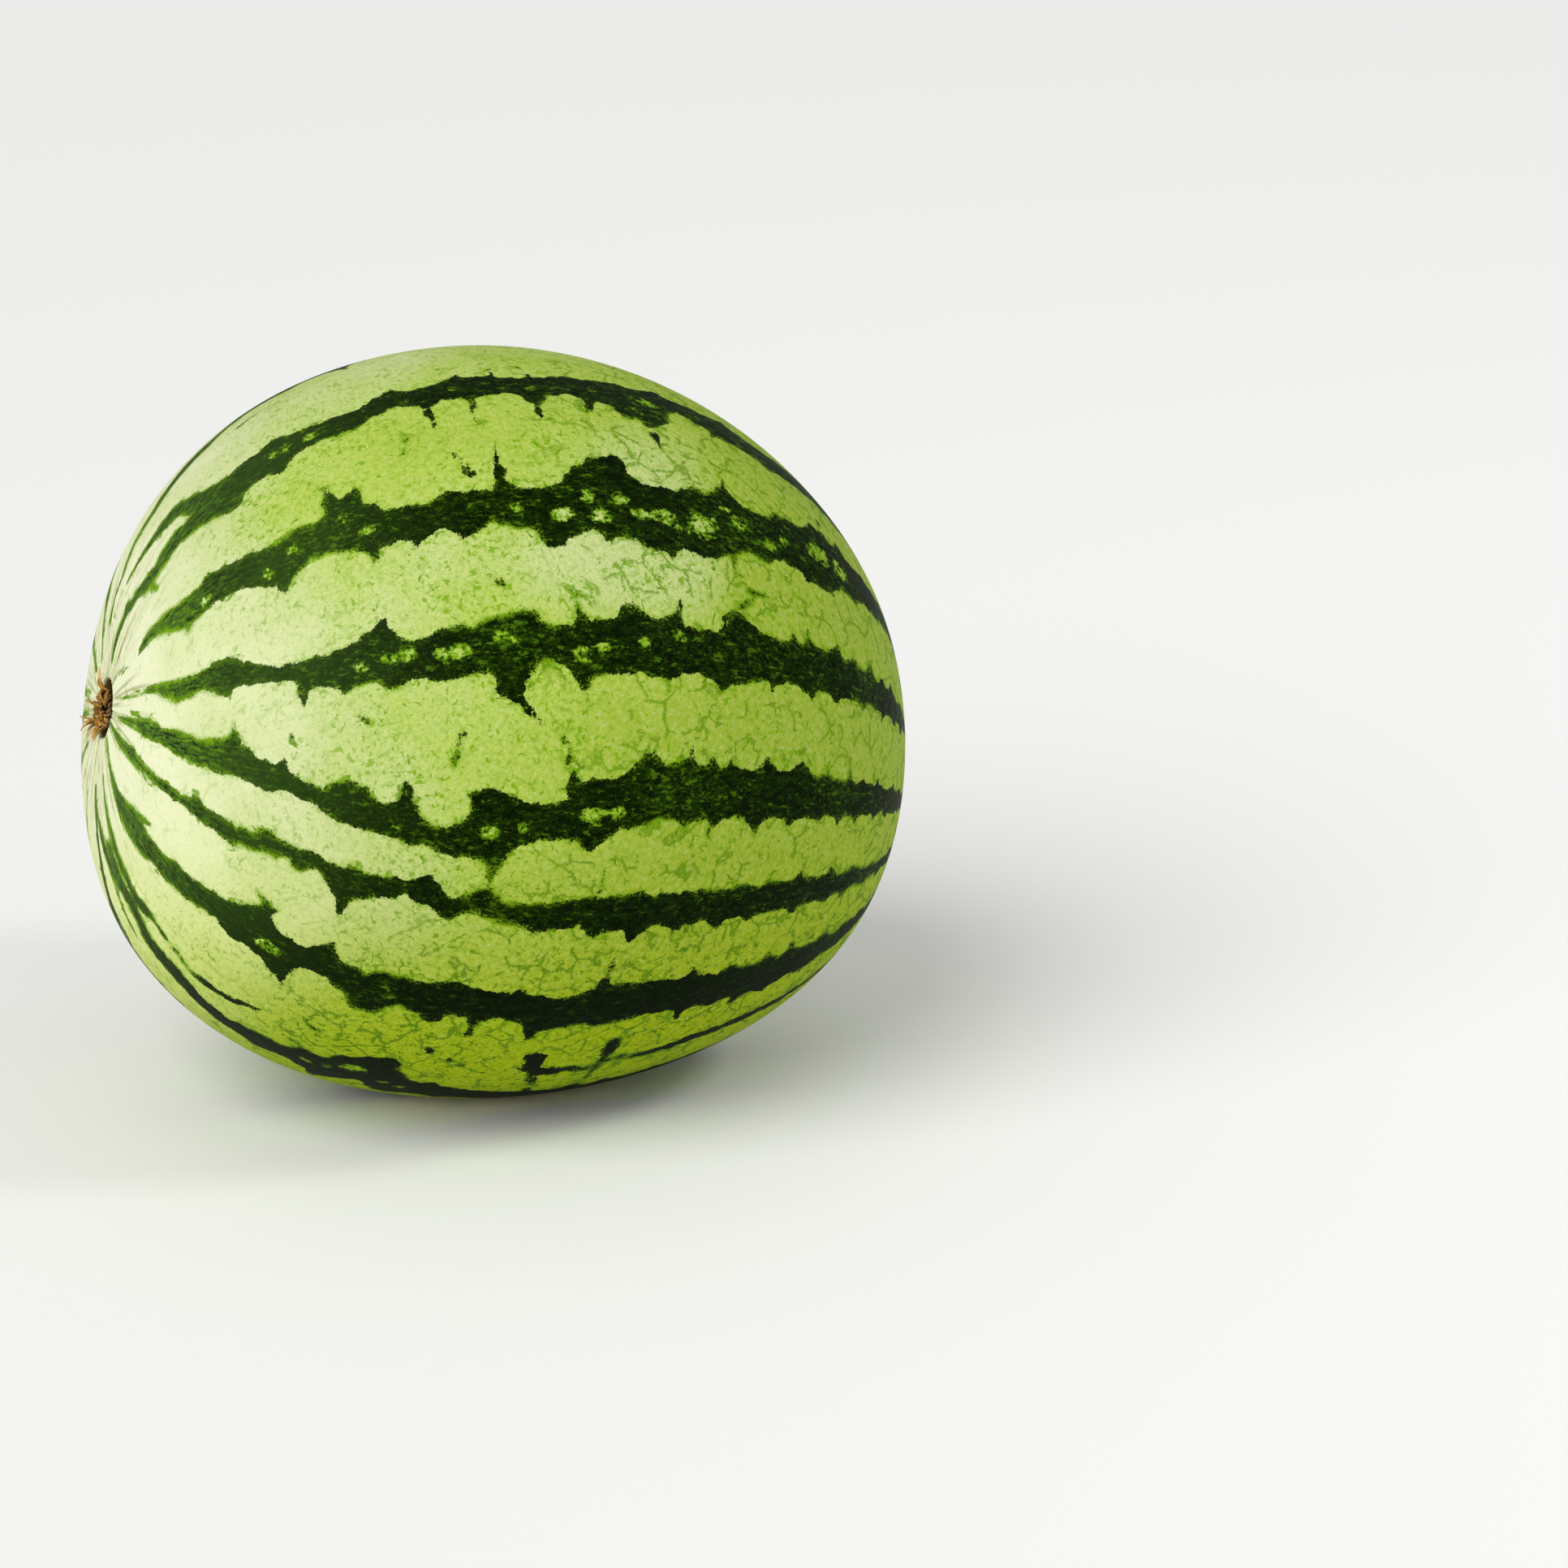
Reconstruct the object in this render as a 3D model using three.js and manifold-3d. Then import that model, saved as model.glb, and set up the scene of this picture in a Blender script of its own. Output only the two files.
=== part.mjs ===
// A small whole watermelon lying on its side, in millimetres, +Z up, stem end towards -X.
// It is one fruit, and the dry scar that the stem left, which sits in a shallow cup at the stem end.

import * as THREE from 'three';
import { mergeVertices } from 'three/addons/utils/BufferGeometryUtils.js';
import Module from 'manifold-3d';

const wasm = await Module();
wasm.setup();

// ---- Driving dimensions of the fruit ----
const RADIUS = 79.3; // half the girth's diameter
const HALF_LENGTH = 92.9; // half the length before the ends are pressed in
const SHOULDER = 0.056; // share by which the stem half is fuller than the blossom half
const FLATTENING = 9.1; // how far the stem end is pressed in
const FLATTENED_ANGLE = 0.55; // how far round from the stem that flattening spreads, in radians
const BLUNTING = 4.5; // how far the blossom end is pressed in
const BLUNTED_ANGLE = 0.6; // how far round from the blossom end that blunting spreads, in radians
const DROOP = 5.2; // how far the two ends hang below the middle, as the vine left them
const LEAN = 2.9; // how much lower the belly sits on the stem half than on the blossom half
const TIP = THREE.MathUtils.degToRad(10.9); // how far the stem end lies raised
const REST_DEPTH = 1.2; // what the flat rest spot takes off the underside

// ---- The cup at the stem end, and the dimple at the blossom end ----
const CUP_RADIUS = 5.8;
const CUP_DEPTH = 3.0;
const CUP_LIP = 0.7; // half the width of the cup's rounded lip
const DIMPLE_RADIUS = 7;
const DIMPLE_DEPTH = 1.3;

// ---- The stem scar: a plug of dry cork, with curled strands and frayed fibres ----
const SCAR_GAP = 0.35; // clear space between the scar and the cup
const PLUG_RADIUS = CUP_RADIUS - CUP_LIP - SCAR_GAP;
const PLUG_THICKNESS = 1.4;
const PLUG_SHRINKAGE = [
  { depth: 0.05, waves: 5, phase: 1 },
  { depth: 0.03, waves: 9, phase: 0 },
]; // how unevenly the plug's edge has shrunk back, as shares of its radius
const CLEFT_HALF_LENGTH = 2.3; // the upright cleft between the strands' tips
const CLEFT_HALF_WIDTH = 0.75;
const ROOT_DEPTH = 2; // how far below the cup's mouth the strands and fibres grow
const CURLED_RINGS = [
  { count: 16, distance: 3.9, rise: 0.3 },
  { count: 8, distance: 2.6, rise: -0.2 },
];
const CURLED_ROOT_RADIUS = 0.72;
const CURLED_TIP_RADIUS = 0.36;
const FRAYED_DISTANCE = 3.4; // how far from the stem axis the frayed fibres grow
const FRAYED_TIP_RADIUS = 0.24;
// How far each frayed fibre leans round, reaches from the stem axis and stands out of the cup at its tip.
const FRAYED_FIBRES = [
  { turn: -0.12, lean: -0.1, reach: 8.2, out: 1.5, root: 0.62 },
  { turn: 0.12, lean: -0.18, reach: 6.6, out: 1.9, root: 0.5 },
  { turn: 3.02, lean: 0.12, reach: 7.2, out: 1.2, root: 0.75 },
  { turn: 3.55, lean: 0.15, reach: 6.0, out: 3.0, root: 0.5 },
  { turn: 3.85, lean: 0.3, reach: 6.6, out: 2.3, root: 0.42 },
  { turn: 4.2, lean: 0.25, reach: 5.6, out: 3.3, root: 0.4 },
];

// ---- Facets ----
const TURN_STEPS = 64;
const RING_STEPS = 56;
const RING_CROWDING = 0.75; // 0 spaces the rings evenly, and near 1 they crowd towards both ends
const PLUG_SIDES = 24;
const STRAND_SIDES = 5;
const STRAND_STEPS = 6;

const Y_AXIS = new THREE.Vector3(0, 1, 0);

function smoothstep(low, high, value) {
  return THREE.MathUtils.smoothstep(value, low, high);
}

// The bulge of the middle over the two ends, at a place along the fruit: 1 is the stem and -1 the blossom.
function droopAt(along) {
  return DROOP * (1 / 3 - along * along);
}

// A point of the skin in the fruit's own frame, stem axis along X. The polar angle runs from 0 at the stem
// to PI at the blossom end, and the turn from 0 at the top towards -Y.
function skinPoint(polar, turn) {
  const along = Math.cos(polar);
  const out = Math.sin(polar);
  const radius = RADIUS * out * (1 + SHOULDER * along * out);
  const flattened = FLATTENING * Math.exp(-((polar / FLATTENED_ANGLE) ** 2));
  const blunted = BLUNTING * Math.exp(-(((Math.PI - polar) / BLUNTED_ANGLE) ** 2));
  const outOfCup = smoothstep(CUP_RADIUS - CUP_LIP, CUP_RADIUS + CUP_LIP, radius);
  const cup = along > 0 ? CUP_DEPTH * (1 - outOfCup) : 0;
  const dimple = along < 0 ? DIMPLE_DEPTH * Math.exp(-((radius / DIMPLE_RADIUS) ** 2)) : 0;
  return new THREE.Vector3(
    -HALF_LENGTH * along + flattened + cup - blunted - dimple,
    -radius * Math.sin(turn),
    radius * Math.cos(turn) + droopAt(along) - LEAN * along * out * out,
  );
}

// The polar angle of a ring, from its share of the way from the stem to the blossom end.
function ringAngle(share) {
  return Math.PI * share - (RING_CROWDING * Math.sin(2 * Math.PI * share)) / 2;
}

// ---- Closed meshes in and out of the boolean library ----
function bare(geometry) {
  geometry.deleteAttribute('normal');
  geometry.deleteAttribute('uv');
  return mergeVertices(geometry, 1e-4);
}

function toSolid(geometry) {
  const merged = bare(geometry);
  return new wasm.Manifold(
    new wasm.Mesh({
      numProp: 3,
      vertProperties: new Float32Array(merged.attributes.position.array),
      triVerts: new Uint32Array(merged.index.array),
    }),
  );
}

function toGeometry(solid) {
  const mesh = solid.getMesh();
  const geometry = new THREE.BufferGeometry();
  geometry.setAttribute('position', new THREE.BufferAttribute(mesh.vertProperties, 3));
  geometry.setIndex(new THREE.BufferAttribute(mesh.triVerts, 1));
  geometry.computeVertexNormals();
  return geometry;
}

// ---- The fruit ----
// A unit sphere, its poles on the stem axis, pulled out to the skin and tipped onto its rest.
function fruitSolid() {
  const sphere = new THREE.SphereGeometry(1, TURN_STEPS, RING_STEPS);
  const position = sphere.attributes.position;
  const point = new THREE.Vector3();
  for (let i = 0; i < position.count; i += 1) {
    point.fromBufferAttribute(position, i);
    const share = Math.acos(THREE.MathUtils.clamp(point.y, -1, 1)) / Math.PI;
    const turn = Math.atan2(point.z, point.x);
    const skin = skinPoint(ringAngle(share), turn).applyAxisAngle(Y_AXIS, TIP);
    position.setXYZ(i, skin.x, skin.y, skin.z);
  }
  return toSolid(sphere);
}

function lowest(solid) {
  return solid.boundingBox().min[2];
}

// The flat rest spot: everything below it is cut off.
function restOn(solid, height) {
  const side = 4 * RADIUS;
  const floor = new THREE.BoxGeometry(side, side, side);
  floor.translate(0, 0, height - side / 2);
  return solid.subtract(toSolid(floor));
}

// ---- The stem scar ----
// Repeatable random numbers from 0 to 1.
function seededRandom(seed) {
  let state = seed;
  return () => {
    state = (state * 1664525 + 1013904223) % 4294967296;
    return state / 4294967296;
  };
}

// A point of the scar, given by how far it stands out of the cup, its distance from the stem axis and its turn.
function scarPoint(out, distance, turn) {
  const mouth = skinPoint(0, 0).x - CUP_DEPTH;
  return new THREE.Vector3(
    mouth - out,
    -distance * Math.sin(turn),
    distance * Math.cos(turn) + droopAt(1),
  ).applyAxisAngle(Y_AXIS, TIP);
}

// A round fibre along a curve, thick at its root and thin at its tip.
function strand(points, rootRadius, tipRadius) {
  const curve = new THREE.CatmullRomCurve3(points);
  const frames = curve.computeFrenetFrames(STRAND_STEPS);
  const fibre = new THREE.CylinderGeometry(tipRadius, rootRadius, 1, STRAND_SIDES, STRAND_STEPS);
  const position = fibre.attributes.position;
  for (let i = 0; i < position.count; i += 1) {
    const share = THREE.MathUtils.clamp(position.getY(i) + 0.5, 0, 1);
    const step = Math.round(share * STRAND_STEPS);
    const centre = curve.getPointAt(share);
    centre.addScaledVector(frames.normals[step], position.getZ(i));
    centre.addScaledVector(frames.binormals[step], position.getX(i));
    position.setXYZ(i, centre.x, centre.y, centre.z);
  }
  return toSolid(fibre);
}

// The cork plug at the bottom of the cup, its edge shrunk unevenly away from the cup's wall.
function corkPlug() {
  const plug = new THREE.CylinderGeometry(PLUG_RADIUS, PLUG_RADIUS, PLUG_THICKNESS, PLUG_SIDES, 1);
  const position = plug.attributes.position;
  const middle = SCAR_GAP - CUP_DEPTH + PLUG_THICKNESS / 2;
  for (let i = 0; i < position.count; i += 1) {
    const turn = Math.atan2(position.getZ(i), position.getX(i));
    const reach = Math.hypot(position.getX(i), position.getZ(i));
    const shrunk = PLUG_SHRINKAGE.reduce(
      (share, { depth, waves, phase }) => share - depth * (1 + Math.sin(waves * turn + phase)),
      1,
    );
    const point = scarPoint(middle + position.getY(i), reach * shrunk, turn);
    position.setXYZ(i, point.x, point.y, point.z);
  }
  return toSolid(plug);
}

// The distance from the stem axis to the edge of the cleft, at a turn round it.
function cleftEdge(turn) {
  return 1 / Math.hypot(Math.cos(turn) / CLEFT_HALF_LENGTH, Math.sin(turn) / CLEFT_HALF_WIDTH);
}

// A strand that rises from the plug, slants round and curls in to the cleft.
function curledStrand(distance, turn, slant, rise) {
  const at = (out, share, slanted) => scarPoint(out, distance * share, turn + slant * slanted);
  const tip = scarPoint(rise - 0.8, cleftEdge(turn + slant), turn + slant);
  const path = [
    at(-ROOT_DEPTH, 0.9, 0),
    at(-ROOT_DEPTH / 2, 1, 0),
    at(rise - 0.4, 0.97, 0.2),
    at(rise, 0.72, 0.6),
    tip,
  ];
  return strand(path, CURLED_ROOT_RADIUS, CURLED_TIP_RADIUS);
}

// A ring of curled strands that all slant the same way.
function curledRing({ count, distance, rise }, random) {
  const strands = [];
  for (let i = 0; i < count; i += 1) {
    const turn = (2 * Math.PI * (i + 0.5 * random())) / count;
    const slant = 0.35 + 0.45 * random();
    strands.push(curledStrand(distance, turn, slant, rise + 0.7 * random()));
  }
  return strands;
}

// A fibre that broke off outside the cup, over its lip.
function frayedFibre({ turn, lean, reach, out, root }) {
  const lip = FRAYED_DISTANCE + 1;
  const path = [
    scarPoint(-ROOT_DEPTH, FRAYED_DISTANCE, turn),
    scarPoint(-ROOT_DEPTH / 3, (FRAYED_DISTANCE + lip) / 2, turn),
    scarPoint(out * 0.55, lip, turn + lean * 0.4),
    scarPoint(out * 0.95, (lip + reach) / 2, turn + lean * 0.8),
    scarPoint(out, reach, turn + lean),
  ];
  return strand(path, root, FRAYED_TIP_RADIUS);
}

function scarSolid() {
  const random = seededRandom(7);
  const curled = CURLED_RINGS.flatMap((ring) => curledRing(ring, random));
  const frayed = FRAYED_FIBRES.map(frayedFibre);
  return [...curled, ...frayed].reduce((whole, piece) => whole.add(piece), corkPlug());
}

// ---- The part ----
function mesh(name, solid, material) {
  const made = new THREE.Mesh(toGeometry(solid), material);
  made.name = name;
  return made;
}

const rindMaterial = new THREE.MeshStandardMaterial({ color: 0x8fb04e, roughness: 0.38, metalness: 0 });
const corkMaterial = new THREE.MeshStandardMaterial({ color: 0x8a5a22, roughness: 0.9, metalness: 0 });

const uncut = fruitSolid();
const restHeight = lowest(uncut) + REST_DEPTH;
const watermelon = new THREE.Group();
watermelon.add(mesh('fruit', restOn(uncut, restHeight), rindMaterial));
watermelon.add(mesh('stem_scar', scarSolid(), corkMaterial));

// The origin is under the middle of the part, on the surface that it rests on.
const box = new THREE.Box3().setFromObject(watermelon);
const middle = box.getCenter(new THREE.Vector3());
watermelon.position.set(-middle.x, -middle.y, -restHeight);
watermelon.updateMatrixWorld(true);

export default watermelon;
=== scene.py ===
"""Builds the looks of a small watermelon: its rind with jagged stripes, and the dry scar of its stem.

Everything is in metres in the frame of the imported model, with +Z up and the stem end towards -X. A place on
the skin is given by two angles: the polar angle, from 0 at the stem to 180 degrees at the blossom end, and
the turn round the stem axis, from 0 at the top towards -Y.
"""

import math
import random

import bmesh
import bpy
import numpy as np
from bpy.props import FloatProperty, FloatVectorProperty, IntProperty, PointerProperty
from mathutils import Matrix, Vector


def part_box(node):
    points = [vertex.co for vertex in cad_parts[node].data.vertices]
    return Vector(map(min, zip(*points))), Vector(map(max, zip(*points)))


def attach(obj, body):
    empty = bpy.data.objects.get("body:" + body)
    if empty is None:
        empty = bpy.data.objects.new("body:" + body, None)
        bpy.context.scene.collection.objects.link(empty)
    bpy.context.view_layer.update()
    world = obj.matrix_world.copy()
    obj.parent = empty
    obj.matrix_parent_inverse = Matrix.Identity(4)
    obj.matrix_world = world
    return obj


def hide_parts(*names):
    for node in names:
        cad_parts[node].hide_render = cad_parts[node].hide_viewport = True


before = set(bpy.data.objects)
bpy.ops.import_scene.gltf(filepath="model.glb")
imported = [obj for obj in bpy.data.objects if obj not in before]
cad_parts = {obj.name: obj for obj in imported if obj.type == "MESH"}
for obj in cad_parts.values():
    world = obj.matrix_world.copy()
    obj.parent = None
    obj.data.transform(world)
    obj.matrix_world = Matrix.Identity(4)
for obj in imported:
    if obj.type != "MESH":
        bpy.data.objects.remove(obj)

bl_info = {
    "name": "Watermelon",
    "version": (1, 0, 0),
    "blender": (4, 5, 0),
    "location": "3D View > Sidebar > Melon",
    "description": "Makes a whole small watermelon with its stem scar, and a plain studio round it",
    "category": "Add Mesh",
}

MM = 0.001
FRUIT_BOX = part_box("fruit")

# ---- The stripes, as they lie on the skin ----
# A stripe has its two edges, the one nearer the top first, each a list of places from the stem towards
# the blossom end: the polar angle and the turn. Lobes of the pale bands bulge into a stripe, and sharp
# cusps of the stripe stand between them.
STRIPES = {
    "far": (
        [
            (13, -35), (20, -26.4), (25, -25.7), (30, -21), (40, -20.4), (45, -18.8), (50, -21.4),
            (58, -21), (66, -22),
        ],
        [
            (13, -31), (17, -26), (20, -22), (25, -21.3), (30, -16), (38, -15.4), (41, -14),
            (45, -15.4), (50, -15.7), (56.5, -12.9), (58, -14.3), (62, -12.9), (63.5, -8),
            (64.8, -13.4), (66, -14),
        ],
    ),
    "top": (
        [
            (7, -8.6), (10, -10), (12, -5), (14, -0.7), (15.8, -2), (17, 4.6), (20, 7.9), (21.5, 11),
            (24, 12.5), (29, 11.4), (33, 13), (38, 11), (40, 11.4), (46, 11.8), (48.5, 10.1),
            (50.5, 12), (54, 13.2), (60, 14), (62, 12.6), (65, 10.5), (67.3, 12.9), (70.8, 12.6),
            (73.8, 10.3), (76, 11.5), (79, 12), (81.5, 12.6), (85.5, 12), (88.5, 10.7), (90, 11.5),
            (93.5, 10.6), (97, 10.9), (99, 10.7), (101, 8.8), (102, 10.3), (104, 10.9), (110, 10.6),
            (111.7, 8.8), (112.8, 10.9), (115, 11.8), (118, 11.8), (120.5, 10.9), (123.5, 9.1),
            (125, 10),
        ],
        [
            (7, -3.6), (10, 1.4), (12, 3.9), (16, 10.4), (18, 13.6), (20, 18.2), (21.5, 20),
            (30, 19.6), (35, 21.8), (39, 24.3), (41, 25.6), (42, 22), (43.5, 21), (46.5, 21.8),
            (47.5, 23.2), (49, 22), (50, 20), (53, 19.5), (60, 19.5), (61.5, 17.9), (65, 16.9),
            (67.8, 17.9), (68.4, 20), (69.3, 18.8), (71.5, 17.6), (73.3, 18.2), (74.4, 20.4),
            (75.3, 18.5), (78.5, 17.5), (80.5, 18.4), (82.3, 21.8), (83.5, 20), (84.5, 18.5),
            (87.8, 17.2), (89, 18.8), (89.8, 20.6), (90.8, 18.8), (92.5, 19.1), (93.3, 20.6),
            (94, 22.6), (95, 21.6), (96.3, 21.8), (97.4, 24.4), (98.5, 21.8), (100.7, 20.3),
            (101, 17.5), (103, 15.2), (105, 16.8), (107, 17.4), (107.8, 20), (108.5, 18.5),
            (113, 18.5), (115, 19.1), (116.5, 20.3), (118, 19.1), (123, 17.9), (125, 17.6),
        ],
    ),
    "top_fork": (
        [
            (12, -27), (14, -23), (16, -20.4), (20, -10.7), (22, -7.5), (24, -6.4), (26, -4.3),
            (31.5, -1.8), (33, 0.7), (34, 3.6), (38, 10), (41, 14),
        ],
        [
            (12, -21.5), (14, -20.7), (16, -17.9), (20, -7.9), (22, -5), (24, -1), (26, 0.7),
            (28, 3.6), (30, 5), (31.5, 7), (33, 12), (37, 16),
        ],
    ),
    "shoulder": (
        [
            (15.5, 46), (16, 42.1), (19, 39.6), (24, 40), (29.5, 41.6), (32, 40.9), (34, 38.6),
            (36, 39.6), (41, 39.9), (43, 40.9), (45.5, 40.7), (48.5, 39), (51, 39.3), (52.5, 38.2),
            (53.2, 31.8), (53.9, 34), (55, 35.4), (56.5, 35.4), (57.3, 33.4), (58.3, 38.2), (60, 39.8),
            (61.5, 40.6), (66, 40.7), (68.8, 38.5), (70, 39.3), (74, 39.4), (75.2, 38.3), (75.7, 34.6),
            (76.3, 37.9), (77.3, 39.3), (81.5, 39.3), (83, 38.2), (84.4, 35.6), (86, 34.7),
            (87.3, 33.2), (91.3, 32), (92.5, 35.3), (94, 36.6), (99, 36.9), (101, 35), (103, 35.6),
            (104.5, 34.7), (106.3, 32.2), (107.3, 33.8), (108.5, 35.3), (113, 35.6), (114.8, 32.9),
            (117.5, 33.2), (120, 32.6), (121.8, 31.2), (122.3, 29.4), (125, 29.4),
        ],
        [
            (15.5, 47), (18, 47.5), (20, 46.4), (22, 46.8), (25, 49.3), (29.5, 52.7), (31, 50.7),
            (35, 48.7), (40, 47.9), (43.5, 49.6), (45, 50.4), (46.3, 52), (47.5, 50.4), (49, 48.2),
            (51, 46.8), (53, 46.4), (57.5, 47.9), (58.8, 49.8), (59.3, 48), (62.5, 46.5), (64.2, 48.4),
            (65.3, 47), (67.8, 45.6), (70.3, 47.6), (74.3, 45.2), (75.5, 46.2), (79.3, 46.8),
            (80.8, 49.6), (82.5, 49.1), (83.3, 47.6), (86.5, 46.2), (87.8, 47), (88.5, 49.6),
            (89, 47.9), (90.5, 47), (94, 48.2), (97.3, 49.2), (98.3, 47.6), (104, 47.9), (107.3, 45.9),
            (108.5, 45), (112.5, 45.2), (114.8, 43.5), (118.5, 43.8), (119.3, 45.3), (122.5, 44.8),
            (125, 44),
        ],
    ),
    "upper_belt": (
        [
            (5.4, 59.3), (10, 65.7), (13, 67.6), (16.7, 68.2), (19.9, 65.6), (21.3, 66.4),
            (28.5, 66.6), (32.2, 65.9), (33.5, 65), (37.6, 63.3), (40, 65), (42.6, 66.6), (47.6, 67),
            (50.1, 65.9), (54, 64.9), (56.5, 63.7), (57.4, 62.4), (59, 60.7), (60.1, 59.9), (61, 62.1),
            (62, 63.5), (64, 64.2), (66, 63.5), (68, 61.8), (71, 62.1), (72.5, 60.9), (78.8, 59.5),
            (79.8, 60.9), (81, 61.8), (83.5, 61.6), (84.5, 59.6), (86, 60.6), (89, 60.3), (90.3, 57.9),
            (91.3, 57.2), (92.3, 58.8), (95, 59.7), (97.7, 57.9), (98.5, 60), (102.5, 60),
            (104.3, 59.4), (104.7, 57.2), (106, 56.5), (106.9, 54.6), (107.8, 57), (110, 58.2),
            (112, 58.5),
        ],
        [
            (5.4, 62), (10, 68.2), (15.8, 69.6), (19.9, 70), (23.1, 71.3), (27.6, 73.9), (31.7, 71.3),
            (33.1, 70.7), (37.4, 72.3), (39.7, 70.4), (44, 69.9), (48.1, 70.1), (49.6, 73.8),
            (50.1, 72.1), (51.3, 71.1), (53.1, 71.1), (55.4, 72.3), (57.2, 71.1), (59.7, 70.4),
            (60.6, 71.8), (61.5, 71.6), (64, 70.3), (70, 69.7), (73.5, 68.9), (75.3, 71.5), (77.8, 74),
            (78, 70), (79.3, 67.1), (82, 67.1), (83.3, 68.2), (85.5, 71.2), (86.3, 69.4), (87.8, 68.4),
            (92.5, 67.8), (96.5, 68.5), (98, 67.4), (102.5, 67.1), (104, 69), (106, 68), (109, 66.8),
            (112, 66.2),
        ],
    ),
    "lower_belt": (
        [
            (8, 84.6), (12.2, 82.5), (18.5, 80), (23.1, 80.6), (24.2, 82.5), (28.1, 81.8),
            (29.9, 82.5), (34.5, 83.2), (38.5, 81.8), (39.7, 79.2), (41, 82.9), (43.5, 85),
            (46.3, 86.1), (47.8, 84.8), (49, 86.8), (50.1, 87.9), (53.5, 88.9), (55.6, 87.5),
            (57, 86.8), (59.7, 87.7), (60.3, 89.2), (61.8, 89.9), (63.6, 89.8), (64, 87.1),
            (64.6, 85.3), (65.7, 89), (67.7, 91.7), (69.5, 92.3), (71.1, 92.1), (72.3, 90.8), (73, 89),
            (72.2, 87), (75, 86), (77.3, 86.5), (80, 87.7), (83.6, 87.3), (84.8, 86.5), (85.3, 84.8),
            (84.6, 82.2), (85.9, 83.8), (90.5, 83.3), (91.8, 82.5), (93.6, 80), (94.4, 78.8), (95, 80),
        ],
        [
            (8, 86.6), (15.4, 85.9), (19, 88.2), (23.1, 87.5), (28.5, 89.3), (32.2, 90.1),
            (42.2, 90.1), (45.8, 91.4), (49.9, 90.7), (53.5, 92), (56.7, 94.3), (60, 94.8),
            (62.2, 94.6), (66, 95.8), (68.6, 95.7), (71.8, 96.8), (74.5, 96.3), (76.2, 97.2),
            (77, 99.8), (78.2, 96.3), (80.2, 93.8), (84.1, 92.7), (86.4, 92.7), (88.9, 94.4),
            (91.4, 91.3), (93.2, 90.4), (95, 90.2),
        ],
    ),
    "thin_belt": (
        [
            (5, 98.4), (10.8, 97.9), (13.1, 97.1), (16.3, 95.2), (18.1, 98.2), (24.5, 99.4),
            (28.1, 98.6), (31.3, 99.4), (33.1, 98.9), (34.4, 97.2), (37.2, 99.6), (43.5, 100.4),
            (45.8, 100), (48.1, 98.7), (49.9, 100.4), (54, 100.9), (58.5, 101.8), (59.8, 100.8),
            (61.3, 102), (67.7, 101.5), (69.9, 100.2), (71.8, 102.7), (73.2, 103.3), (75, 103),
            (76.9, 100.4), (77.6, 100.7), (79.1, 102.9), (82.3, 103.2), (86.4, 102.3), (89.5, 101.3),
            (93.6, 101), (97, 100.4),
        ],
        [
            (5, 106.8), (8.5, 107.5), (13.1, 105.4), (17.2, 103.6), (24, 102.7), (32.2, 102.5),
            (39, 103.6), (42.2, 105), (43.5, 104.1), (48.8, 103.6), (49.9, 103), (51.3, 103.2),
            (52.7, 105.6), (53.3, 104.1), (54.9, 103.5), (57, 105), (58.3, 107.5), (59, 109.2),
            (60, 108.8), (60.4, 107.1), (63.8, 105.8), (67.3, 104.2), (70.5, 105.7), (73.4, 107.5),
            (74.5, 105.8), (75.9, 105.4), (80.5, 106.8), (82.7, 106.8), (84.5, 107.8), (90, 106.2),
            (90.9, 107.9), (92.3, 108.5), (93, 107.1), (96, 106.8), (97, 108.8),
        ],
    ),
    "belly": (
        [
            (5, 127), (9, 131.5), (14, 128.6), (18.1, 123.6), (20.4, 119.3), (24, 117.1),
            (27.4, 115.3), (24.9, 119.6), (26.3, 120.4), (32.2, 120.1), (33.5, 118.9), (40.4, 118.4),
            (44.5, 117.7), (48.8, 115), (49.6, 113), (50.6, 116.1), (53.1, 118.6), (56.3, 119.6),
            (58.5, 117.9), (60.1, 116.4), (61.6, 119.8), (65.5, 120.2), (67.5, 119), (71.4, 119.6),
            (74.5, 119.6), (75.2, 118.2), (79.1, 118.8), (84.1, 119.6), (85.5, 118.3), (86.4, 119.3),
            (90.5, 120.2), (92.7, 119.6), (95.2, 117.9), (96.1, 113.3), (96.8, 117.4), (102, 117.1),
        ],
        [
            (5, 138), (7.2, 140), (13.1, 137.1), (19, 135), (22.6, 133.6), (23.5, 132.1),
            (27.6, 129.3), (29.9, 127), (35.8, 126.3), (39.9, 124.9), (43.5, 124.4), (46.7, 125.9),
            (50.8, 126.1), (54, 128.2), (55.7, 130.6), (56, 127.9), (56.5, 124.4), (58.5, 123.9),
            (60.5, 124.2), (63.6, 126.3), (65.9, 129.2), (68.6, 129.2), (70, 126.8), (71.4, 125.8),
            (73.2, 126.5), (75.5, 128.4), (77.7, 125.8), (79.1, 125.4), (80.2, 125.8), (81.1, 130.6),
            (81.9, 126.7), (83.2, 125), (86.8, 125.7), (89.1, 130.2), (90.5, 127.5), (94.5, 126.3),
            (98, 127.1), (102, 125.4),
        ],
    ),
    "low": (
        [
            (20, 157), (24, 152.5), (26, 152.3), (30, 149.5), (36, 151.3), (43.1, 149.6),
            (47.6, 151.8), (52.2, 152.1), (56.7, 150), (61, 149.1), (62.5, 147.9), (61.8, 146.2),
            (59.5, 144.7), (62.3, 145), (64.8, 147.1), (66.4, 146.7), (68.2, 143.8), (70, 142.9),
            (72.3, 141), (74.5, 140), (75.5, 141.3), (76.4, 145), (78.6, 147.9), (80, 148.5),
            (81.6, 147.6), (83.6, 149), (90, 150.7), (94, 150.7),
        ],
        [
            (20, 161), (27.6, 160.7), (28.1, 158.6), (31.3, 155.7), (33.1, 155.7), (36.3, 157.9),
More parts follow.
